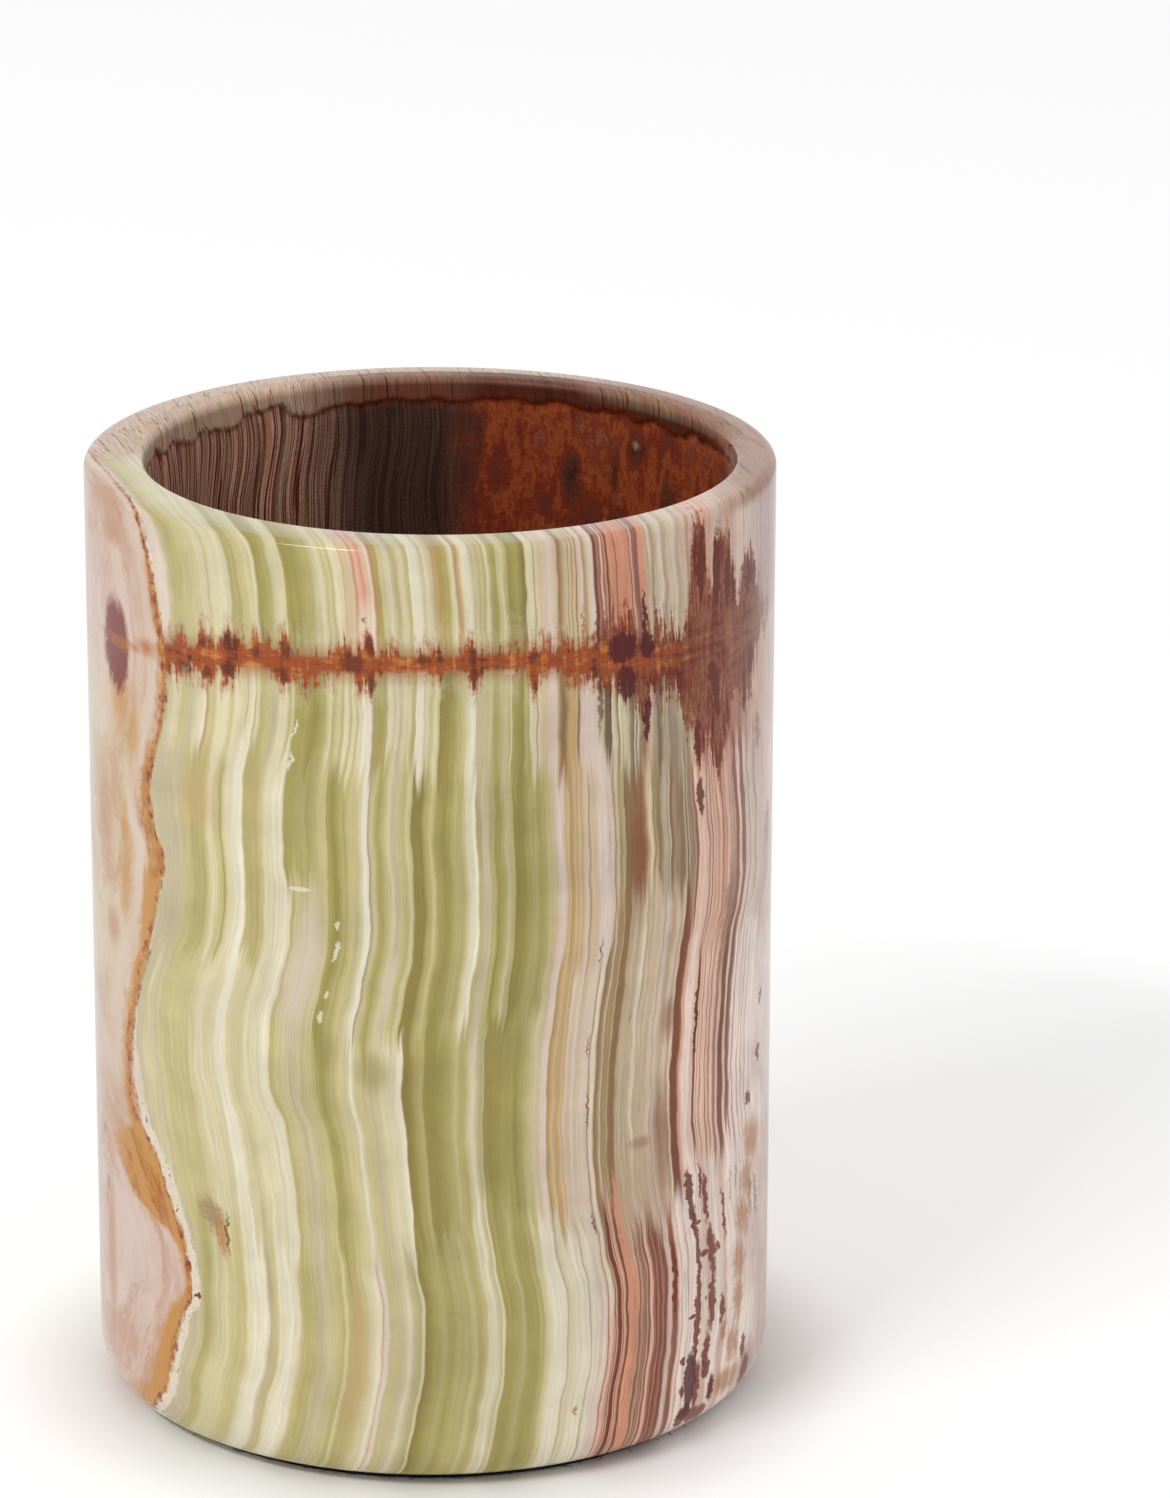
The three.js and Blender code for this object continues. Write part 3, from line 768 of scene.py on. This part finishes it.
def stone_places(add):
    """The stone's own axes in millimetres, and the patterns that several of its features share."""
    at = SimpleNamespace(place=add("TexCoord").outputs["Object"])
    at.turned = add("Mapping", at.place, (0, 0, -foot_height / mm), (0, 0, -sheet_turn), in_mm)
    at.sideways, at.inward, at.height = add("SeparateXYZ", at.turned).outputs

    ripple = add("Math", streaks(add, at.turned, "ripple"), 0.5, operation="SUBTRACT")
    widths = (ripple_width / noise_reach, ripple_width_in_pink / noise_reach)
    width = add("MapRange", at.sideways, *pink_begins, *widths)
    at.ripple = add("Math", ripple, width, operation="MULTIPLY")
    at.back_fold = streaks(add, at.turned, "back_fold")
    at.back_fold = add("MapRange", at.back_fold, *noise_spread, -back_lean, back_lean)
    behind = add("MapRange", at.inward, *behind_axis)
    at.back_fold = add("Math", at.back_fold, behind, operation="MULTIPLY")
    at.lean = add("Math", sheet_fold(add, at.sideways, at.height), at.ripple, operation="ADD")
    at.lean = add("Math", at.lean, at.back_fold, operation="ADD")
    at.across = add("Math", at.sideways, at.lean, operation="SUBTRACT")
    at.sheet = add("CombineXYZ", at.across, at.inward, at.height)

    at.comb = streaks(add, at.sheet, "comb")
    at.spike = streaks(add, at.sheet, "spike")
    ragged = add("TexNoise", at.turned, *ragged_noise)
    ragged = add("Math", ragged, noise_on_spikes, at.spike, operation="MULTIPLY_ADD")
    at.ragged = add("MapRange", ragged, *raggedness)
    at.less_ragged = add("Math", at.ragged, less_ragged_share, operation="MULTIPLY")
    from_seam = curve_through(add, at.across, seam_heights, 0, cup_height)
    from_seam = add("Math", at.height, from_seam, operation="SUBTRACT")
    at.from_seam = add("Math", from_seam, operation="ABSOLUTE")
    at.faded_behind = add("MapRange", at.inward, *stains_fade_behind)

    at.straight = add("SeparateXYZ", at.place)
    back = add("MapRange", at.straight, *back_begins_at_left)
    back = add("Math", at.straight.outputs["Y"], back, operation="ADD")
    at.back = add("MapRange", back, *back_begins, interpolation_type="SMOOTHSTEP")
    lines_place = add("Math", at.lean, lines_lean, at.sideways, operation="MULTIPLY_ADD")
    lines_place = add("CombineXYZ", lines_place, at.inward, at.height)
    at.lines = streaks(add, lines_place, "line")
    at.lined = band_colours(add, at.lines, rim_lines)
    at.black_wall = add("MapRange", at.straight, *black_wall_across, interpolation_type="SMOOTHSTEP")
    at.black_wall = add("Math", at.black_wall, at.back, operation="MULTIPLY")
    at.rusty_wall = add("MapRange", at.straight, *rusty_wall_across, interpolation_type="SMOOTHSTEP")
    at.rusty_wall = add("Math", at.rusty_wall, at.back, operation="MULTIPLY")

    at.below_lip = add("Attribute", attribute_name="mm_below_lip").outputs["Fac"]
    at.drilled = add("MapRange", at.below_lip, 0, chip_run / mm)
    under_top = add("MapRange", at.height, *rim_edge_heights)
    at.on_lip = add("MapRange", at.below_lip, *lip_marks)
    at.on_lip = add("Math", at.on_lip, under_top, operation="MULTIPLY")
    return at


def banded(add, at):
    """The sheets, list above list, with fine threads and hairlines, rosy mist and bleached seam sides."""
    tooth = add("MapRange", at.comb, *noise_spread, -tooth_height, tooth_height)
    colours = band_colours(add, at.across, bands_lower)
    for bands, heights in ((bands_middle, middle_heights), (bands_upper, upper_heights),
                           (bands_under_seam, under_seam_heights), (bands_above_seam, seam_heights)):
        line = curve_through(add, at.across, heights, 0, cup_height)
        if heights is not seam_heights:
            line = add("Math", line, tooth, operation="ADD")
        over = add("Math", at.height, line, operation="SUBTRACT")
        over = add("MapRange", over, -tooth_softness, tooth_softness, interpolation_type="SMOOTHSTEP")
        colours = add("Mix", over, colours, band_colours(add, at.across, bands), data_type="RGBA")

    threads = add("Math", streaks(add, at.sheet, "thread"), 0.5, operation="SUBTRACT")
    threaded = add("MapRange", add("TexNoise", at.turned, *thread_noise), *thread_patches)
    more_in_pink = add("MapRange", at.sideways, *pink_begins, *more_threads_in_pink)
    threaded = add("Math", threaded, more_in_pink, operation="ADD")
    threads = add("Math", threads, threaded, 1.0, operation="MULTIPLY_ADD")
    cloud = add("MapRange", add("TexNoise", at.turned, *cloud_noise), *noise_spread, *cloud_shades)
    shade = add("Math", threads, cloud, operation="MULTIPLY")
    colours = add("HueSaturation", 0.5, stone_saturation, shade, 1.0, colours)

    hairs = add("Math", streaks(add, at.sheet, "hair"), 0.5, operation="SUBTRACT")
    hairs = add("Math", hairs, operation="ABSOLUTE")
    hairs = add("MapRange", hairs, *hair_edges)
    mist = add("MapRange", streaks(add, at.turned, "mist"), *mist_patches)
    for pattern, limits, colour in ((hairs, hairs_within, "mauve"), (mist, mist_within, "rose")):
        for outside, inside in limits:
            within = add("MapRange", at.across, outside, inside)
            pattern = add("Math", pattern, within, operation="MULTIPLY")
        colours = add("Mix", pattern, colours, onyx_colours[colour], data_type="RGBA")
    bleached = add("Math", at.ragged, bleached_wander, at.from_seam, operation="MULTIPLY_ADD")
    bleached = add("MapRange", bleached, *bleached_near_seam)
    return add("Mix", bleached, colours, onyx_colours["cream"], data_type="RGBA", blend_type="LIGHTEN")


def stained_sheets(add, at, colours):
    """Soft smudges in the sheets, and stains with ragged edges that fade towards the back."""
    smooth_place = add("CombineXYZ", at.across, at.height)
    colours = stained(add, colours, smooth_place, sheet_smudges)
    spur = add("MapRange", streaks(add, at.turned, "spur"), *stain_spurs)
    spur = add("Math", at.across, spur, operation="ADD")
    worn = add("Math", at.less_ragged, at.faded_behind, operation="ADD")
    at.stain_place = add("CombineXYZ", spur, at.height, worn)
    return stained(add, colours, at.stain_place, sheet_stains)


def seamed(add, at, colours):
    """The rusty seam and the brown burst. Both have a halo, spikes along their edges and dark spots."""
    rust = add("Math", streaks(add, at.turned, "rust"), at.comb, operation="ADD")
    rust = add("Math", rust, 0.5, operation="MULTIPLY")
    seam_rust = band_colours(add, rust, seam_rusts)
    seam_brown = band_colours(add, rust, seam_browns)
    smoke = add("Math", streaks(add, at.turned, "smoke"), at.spike, operation="ADD")
    smoke = add("Math", smoke, 0.5, operation="MULTIPLY")
    burst_rust = band_colours(add, smoke, burst_browns)
    near_seam = add("Math", at.ragged, brown_wander, at.from_seam, operation="MULTIPLY_ADD")
    near_seam = add("MapRange", near_seam, *brown_near_seam)
    burst_rust = add("Mix", near_seam, burst_rust, seam_brown, data_type="RGBA")
    for top, foot, stone_rust, spike_length in ((burst_top, burst_foot, burst_rust, burst_spikes),
                                                (seam_top, seam_foot, seam_rust, seam_spikes)):
        first, last = top[0][0], top[-1][0]
        top = curve_through(add, at.across, top, 0, cup_height)
        below = add("Math", top, at.height, operation="SUBTRACT")
        foot = curve_through(add, at.across, foot, 0, cup_height)
        above = add("Math", at.height, foot, operation="SUBTRACT")
        inside = add("Math", below, above, operation="MINIMUM")
        spikes = add("MapRange", at.ragged, 0, 1, spike_length, spike_dips * spike_length)
        inside = add("Math", inside, spikes, operation="ADD")
        start = add("MapRange", at.across, first, first + seam_starts_over)
        end = add("MapRange", at.across, last, last - seam_ends_over)
        part = add("Math", start, end, operation="MULTIPLY")
        if stone_rust is seam_rust:
            core = add("MapRange", at.from_seam, *seam_core)
            inside = add("Math", inside, core, operation="MAXIMUM")
        else:
            in_front = add("MapRange", at.faded_behind, *burst_faded)
            part = add("Math", part, in_front, operation="MULTIPLY")
        halo = add("MapRange", inside, *rust_halo, interpolation_type="SMOOTHSTEP")
        body = add("MapRange", inside, *rust_body, interpolation_type="SMOOTHSTEP")
        for cover, rust_colour, blend in ((halo, onyx_colours["orange"], "MULTIPLY"),
                                          (body, stone_rust, "MIX")):
            cover = add("Math", cover, part, operation="MULTIPLY")
            colours = add("Mix", cover, colours, rust_colour, data_type="RGBA", blend_type=blend)
    return stained(add, colours, at.stain_place, seam_stains)


def capped(add, at, colours):
    """The pinkish cap at the left, the amber that fills its crack, and the crack's own dotted margin."""
    inside = curve_through(add, at.height, cap_crack, *crack_reach)
    inside = add("Math", inside, at.sideways, operation="SUBTRACT")
    inside = add("Math", at.back_fold, back_fold_of_crack, inside, operation="MULTIPLY_ADD")
    inside = add("Math", inside, surface_mm_per_mm_across, operation="MULTIPLY")
    cap = add("MapRange", inside, *cap_border)
    inside = add("Math", inside, add("MapRange", at.ragged, *crack_wave), operation="ADD")

    calcite = band_colours(add, at.height, cap_colours)
    smoke = streaks(add, add("CombineXYZ", inside, at.inward, at.height), "cap_smoke")
    for start, full, colour in cap_clouds:
        part = add("MapRange", smoke, start, full, 0.0, cap_cloud_strength)
        calcite = add("Mix", part, calcite, onyx_colours[colour], data_type="RGBA")
    smooth_place = add("CombineXYZ", at.inward, at.height, at.ripple)
    calcite = stained(add, calcite, smooth_place, cap_smudges)

    past_amber = curve_through(add, at.height, amber_widths, 0, widest_amber)
    past_amber = add("Math", inside, past_amber, operation="SUBTRACT")
    amber = band_colours(add, smoke, ambers)
    specks = add("TexNoise", at.turned, *speck_noise)
    rusty = band_colours(add, specks, crack_rusts)
    rusty_above = add("MapRange", at.height, *rusty_amber_heights)
    amber = add("Mix", rusty_above, amber, rusty, data_type="RGBA")
    beside = add("MapRange", past_amber, *pale_edge, interpolation_type="SMOOTHSTEP")
    beside = add("Math", beside, add("MapRange", at.height, *pale_edge_heights), operation="MULTIPLY")
    in_amber = add("MapRange", past_amber, *amber_edge, interpolation_type="SMOOTHSTEP")
    for part, colour in ((beside, onyx_colours["shell"]), (in_amber, amber)):
        calcite = add("Mix", part, calcite, colour, data_type="RGBA")
    cap_place = add("CombineXYZ", at.inward, at.height, at.less_ragged)
    calcite = stained(add, calcite, cap_place, cap_stains)
    colours = add("Mix", cap, colours, calcite, data_type="RGBA")

    dotted = band_colours(add, specks, crack_dots)
    low_down = add("MapRange", at.height, *margin_heights)
    speckled = add("MapRange", specks, *crack_speckle)
    for (start, full, end), margin, strength in ((margin_span, dotted, low_down),
                                                 (crack_span, rusty, speckled)):
        rise = add("MapRange", inside, start, full, interpolation_type="SMOOTHSTEP")
        fall = add("MapRange", inside, end + crack_softness, end, interpolation_type="SMOOTHSTEP")
        part = add("Math", rise, fall, operation="MULTIPLY")
        part = add("Math", part, strength, operation="MULTIPLY")
        colours = add("Mix", part, colours, margin, data_type="RGBA")
    return colours


def drilled_stone(add, at, colours):
    """The bore's wall, darkened all over with tan as painted shade, then lined at the back left, near black
    in the middle and rusty at the right.
    """
    # Painted shade: the whole drilled wall is darkened with tan before its lines and stains go on.
    darkened_bore = add("Mix", bore_painted_shade, colours, onyx_colours["tan"], data_type="RGBA", blend_type="MULTIPLY")
    rusty = band_colours(add, streaks(add, at.turned, "smear"), wall_rusts)
    wall_place = add("VectorMath", at.place, in_mm, (0, 0, -foot_height / mm), operation="MULTIPLY_ADD")
    wall_axes = add("SeparateXYZ", wall_place).outputs
    wall_place = add("CombineXYZ", wall_axes["X"], wall_axes["Z"], at.ragged)
    rusty = stained(add, rusty, wall_place, wall_stains)
    for part, colour in ((at.back, band_colours(add, at.lines, wall_lines)),
                         (at.black_wall, onyx_colours["black_brown"]), (at.rusty_wall, rusty)):
        darkened_bore = add("Mix", part, darkened_bore, colour, data_type="RGBA")
    return darkened_bore


def rimmed(add, at, colours):
    """Shades the lip where the wall behind it is dark, and the right of the rim's top with its lines."""
    for side, colour in ((at.black_wall, "burnt"), (at.rusty_wall, "clay")):
        part = add("Math", side, at.on_lip, operation="MULTIPLY")
        colours = add("Mix", part, colours, onyx_colours[colour], data_type="RGBA", blend_type="MULTIPLY")
    rim_top = add("MapRange", at.height, *rim_top_heights)
    rim_right = add("MapRange", at.sideways, *rim_right_across)
    rim_right = add("Math", rim_right, rim_top, operation="MULTIPLY")
    for colour, blend in ((at.lined, "MIX"), (onyx_colours["clay"], "MULTIPLY")):
        colours = add("Mix", rim_right, colours, colour, data_type="RGBA", blend_type=blend)
    return colours


def banded_onyx():
    """Polished banded calcite onyx. It is glassy outside, and dull and stained in the drilled bore."""
    stone, tree, shader = new_material("polished_banded_onyx")
    add = partial(add_node, tree)
    shader.inputs["IOR"].default_value = stone_index
    shader.inputs["Specular IOR Level"].default_value = stone_shine
    at = stone_places(add)
    colours = banded(add, at)
    colours = stained_sheets(add, at, colours)
    colours = seamed(add, at, colours)
    lined_high = add("MapRange", at.height, *lined_heights)
    lined_high = add("Math", lined_high, at.back, operation="MULTIPLY")
    colours = add("Mix", lined_high, colours, at.lined, data_type="RGBA")
    colours = capped(add, at, colours)
    # The bore's colours, with painted shade over the whole drilled wall.
    darkened_bore = drilled_stone(add, at, colours)
    colours = rimmed(add, at, colours)
    # A dark line just under the ragged lip, in the chipped step: partly stain, partly painted shade.
    near_lip = add("Math", at.below_lip, lip_middle, operation="SUBTRACT")
    near_lip = add("Math", near_lip, operation="ABSOLUTE")
    near_lip = add("Math", at.ragged, lip_wander, near_lip, operation="MULTIPLY_ADD")
    near_lip = add("MapRange", near_lip, *lip_line_stain_and_shade)
    for part, colour in ((at.drilled, darkened_bore), (near_lip, onyx_colours["liver"])):
        colours = add("Mix", part, colours, colour, data_type="RGBA")

    on_back_lip = add("Math", at.back, at.on_lip, operation="MULTIPLY")
    on_back_lip = add("Math", on_back_lip, back_lip_dulling, operation="MULTIPLY")
    dull = add("Math", at.drilled, on_back_lip, operation="MAXIMUM")
    roughness = add("MapRange", dull, 0, 1, polished_roughness, dull_roughness)
    grain = add("TexNoise", at.turned, *grain_noise)
    strength = add("MapRange", at.drilled, 0, 1, *grain_strengths)
    bump = add("Bump", strength, grain_depth, bump_filter, grain)
    tree.links.new(colours.outputs["Result"], shader.inputs["Base Color"])
    tree.links.new(roughness.outputs[0], shader.inputs["Roughness"])
    tree.links.new(bump.outputs[0], shader.inputs["Normal"])
    return stone


cup = new_object("onyx_cup_banded", cup_mesh())
cup.data.materials.append(banded_onyx())
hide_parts("onyx_cup")
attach(cup, "root")

# Adhesive film.
# A die-cut disc of clear double-sided acrylic tape that holds the felt to the ground flat under the
# cup. It was rolled on, so faint lines of trapped air cross it.
film_air_line_spacing = 2.5
film_air_line_stretch = 0.15
film_air_detail = (3.0, 0.6)
film_air_edges = (0.5, 0.65)
film_roughness = (0.2, 0.5)
film_index = 1.47
film_colour = "d9d6c6"
film_air_colour = "efede4"


def clear_acrylic_tape():
    """Clear acrylic adhesive. It looks milky where air is trapped, and is glossy in between."""
    tape, tree, shader = new_material("clear_acrylic_tape")
    add = partial(add_node, tree)
    shader.inputs["IOR"].default_value = film_index
    drawn_out = (1 / mm, film_air_line_stretch / mm, 1 / mm)
    place = add("Mapping", add("TexCoord").outputs["Object"], (0, 0, 0), (0, 0, 0), drawn_out)
    air = add("TexNoise", place, 1 / film_air_line_spacing, *film_air_detail)
    trapped = add("MapRange", air, *film_air_edges, interpolation_type="SMOOTHSTEP")
    colour = add("Mix", trapped, linear(film_colour), linear(film_air_colour), data_type="RGBA")
    roughness = add("MapRange", trapped, 0, 1, *film_roughness)
    tree.links.new(colour.outputs["Result"], shader.inputs["Base Color"])
    tree.links.new(roughness.outputs[0], shader.inputs["Roughness"])
    return tape


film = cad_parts["adhesive_film"]
film.data.materials.clear()
film.data.materials.append(clear_acrylic_tape())

# Felt pad.
# A disc of black pressed wool felt, die-cut and stuck under the foot so that the stone doesn't
# scratch a desk. Loose fibres lie over its face, and its cut edge is fuzzy.
felt_low, felt_high = (Vector(corner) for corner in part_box("felt_pad"))
felt_radius = (felt_high.x - felt_low.x) / 2
felt_face_height = 0.12 * mm
felt_edge_wander = 0.15 * mm
felt_edge_lobes = 45
felt_lump_height = 0.05 * mm
felt_lumps_per_mm = 0.6
felt_rings = 16
felt_edge_steps = 4
felt_points_around = 180
felt_roughness = 0.95
felt_sheen = 0.1
felt_shine = 0.2
felt_matting = (1.2, 5.0, 0.7)
felt_matting_edges = (0.35, 0.65)
felt_nap_strength = 0.5
felt_nap_height = 0.1 * mm
fibre_length = 2.2 * mm
fibre_thickness = 0.05 * mm
fibre_curl = 0.5 * mm
fibre_steps = 4
fibre_sides = 3
fibres_per_square_metre = 1.3e6
fibre_seed = 7
felt_colour = "0d0c0f"
felt_fibre_colour = "1d1c1f"


def felt_disc():
    """The disc's face, edge and top, with an uneven die-cut edge and a slightly lumpy face."""
    loops = [(felt_radius * ring / felt_rings, felt_face_height) for ring in range(1, felt_rings + 1)]
    thickness = felt_high.z - felt_face_height
    steps = range(1, felt_edge_steps + 1)
    loops += [(felt_radius, felt_face_height + thickness * step / felt_edge_steps) for step in steps]
    verts = [(0, 0, felt_face_height)]
    for radius, height in loops:
        for around in directions(felt_points_around):
            at = radius - fibre_thickness
            if radius == felt_radius:
                edge_place = around * felt_edge_lobes + Vector((0, 0, height / mm))
                at -= felt_edge_wander * abs(noise.noise(edge_place))
            lump = 0
            if height == felt_face_height:
                lump = felt_lump_height * noise.noise(around * radius / mm * felt_lumps_per_mm)
            verts.append((at * around.x, at * around.y, height + abs(lump)))
    verts.append((0, 0, felt_high.z))
    return turned_mesh("felt_pad_wool", verts, felt_points_around)


def black_wool_felt():
    """Pressed black wool. It is dull and dark, with a soft grey bloom where loose fibres catch light."""
    felt, tree, shader = new_material("pressed_black_wool_felt")
    add = partial(add_node, tree)
    shader.inputs["Roughness"].default_value = felt_roughness
    shader.inputs["Sheen Weight"].default_value = felt_sheen
    shader.inputs["Specular IOR Level"].default_value = felt_shine
    place = add("Mapping", add("TexCoord").outputs["Object"], (0, 0, 0), (0, 0, 0), in_mm)
    matted = add("TexNoise", place, *felt_matting)
    shade = add("MapRange", matted, *felt_matting_edges)
    colour = add("Mix", shade, linear(felt_colour), linear(felt_fibre_colour), data_type="RGBA")
    bump = add("Bump", felt_nap_strength, felt_nap_height, bump_filter, matted)
    tree.links.new(colour.outputs["Result"], shader.inputs["Base Color"])
    tree.links.new(bump.outputs[0], shader.inputs["Normal"])
    return felt


def curled_fibre(add, given):
    """One fibre lying along its own X, bent in the middle, as a thin three-sided tube."""
    half = add("Math", given["Fibre length"], 0.5, operation="MULTIPLY")
    back_half = add("Math", half, -1, operation="MULTIPLY")
    start = add("CombineXYZ", back_half)
    bend = add("CombineXYZ", 0, given["Curl"])
    end = add("CombineXYZ", half)
    line = add("GeometryNodeCurveQuadraticBezier", fibre_steps, start, bend, end)
    radius = add("Math", given["Fibre thickness"], 0.5, operation="MULTIPLY")
    section = add("GeometryNodeCurvePrimitiveCircle", fibre_sides)
    section.id_data.links.new(radius.outputs[0], section.inputs["Radius"])
    return add("GeometryNodeCurveToMesh", line, section)


def wool_fibres(felt):
    """Curled fibres scattered over the felt's face, some past its cut edge, joined to the disc."""
    tree = bpy.data.node_groups.new("wool_fibres", "GeometryNodeTree")
    add = partial(add_node, tree)
    tree.interface.new_socket("Felt", in_out="INPUT", socket_type="NodeSocketGeometry")
    sizes = {"Fibre length": fibre_length, "Fibre thickness": fibre_thickness, "Curl": fibre_curl,
             "Fibres per square metre": fibres_per_square_metre}
    sockets = {name: tree.interface.new_socket(name, in_out="INPUT", socket_type="NodeSocketFloat")
               for name in sizes}
    tree.interface.new_socket("Felt", in_out="OUTPUT", socket_type="NodeSocketGeometry")
    given = add("NodeGroupInput").outputs
    upward = add("SeparateXYZ", add("GeometryNodeInputNormal")).outputs["Z"]
    open_face = add("FunctionNodeCompare", upward, -0.5, operation="LESS_THAN")
    points = add("GeometryNodeDistributePointsOnFaces", given["Felt"], open_face,
                 given["Fibres per square metre"])
    points.inputs["Seed"].default_value = fibre_seed
    hair = curled_fibre(add, given)
    turn = add("FunctionNodeRandomValue", 0, 2 * math.pi, data_type="FLOAT")
    turn.inputs["Seed"].default_value = fibre_seed
    lying = add("FunctionNodeAlignRotationToVector", axis="Z")
    tree.links.new(points.outputs["Normal"], lying.inputs["Vector"])
    spin = add("CombineXYZ", 0, 0, turn)
    lying = add("FunctionNodeRotateRotation", lying, spin, rotation_space="LOCAL")
    laid = add("GeometryNodeInstanceOnPoints")
    for name, source in (("Points", points), ("Instance", hair), ("Rotation", lying)):
        tree.links.new(source.outputs[0], laid.inputs[name])
    joined = add("GeometryNodeJoinGeometry")
    tree.links.new(laid.outputs[0], joined.inputs[0])
    tree.links.new(given["Felt"], joined.inputs[0])
    finished = add("GeometryNodeSetMaterial", add("GeometryNodeRealizeInstances", joined))
    finished.inputs["Material"].default_value = felt
    add("NodeGroupOutput", finished)
    return tree, {sockets[name].identifier: size for name, size in sizes.items()}


bare_pad = new_object("felt_disc", felt_disc())
fibres = bare_pad.modifiers.new("fibres", "NODES")
fibres.node_group, fibre_sizes = wool_fibres(black_wool_felt())
for socket, size in fibre_sizes.items():
    fibres[socket] = size
bpy.context.view_layer.update()
woolly = bpy.data.meshes.new_from_object(bare_pad.evaluated_get(bpy.context.evaluated_depsgraph_get()))
bpy.data.objects.remove(bare_pad)
pad = new_object("felt_pad_wool", woolly)
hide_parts("felt_pad")
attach(pad, "root")
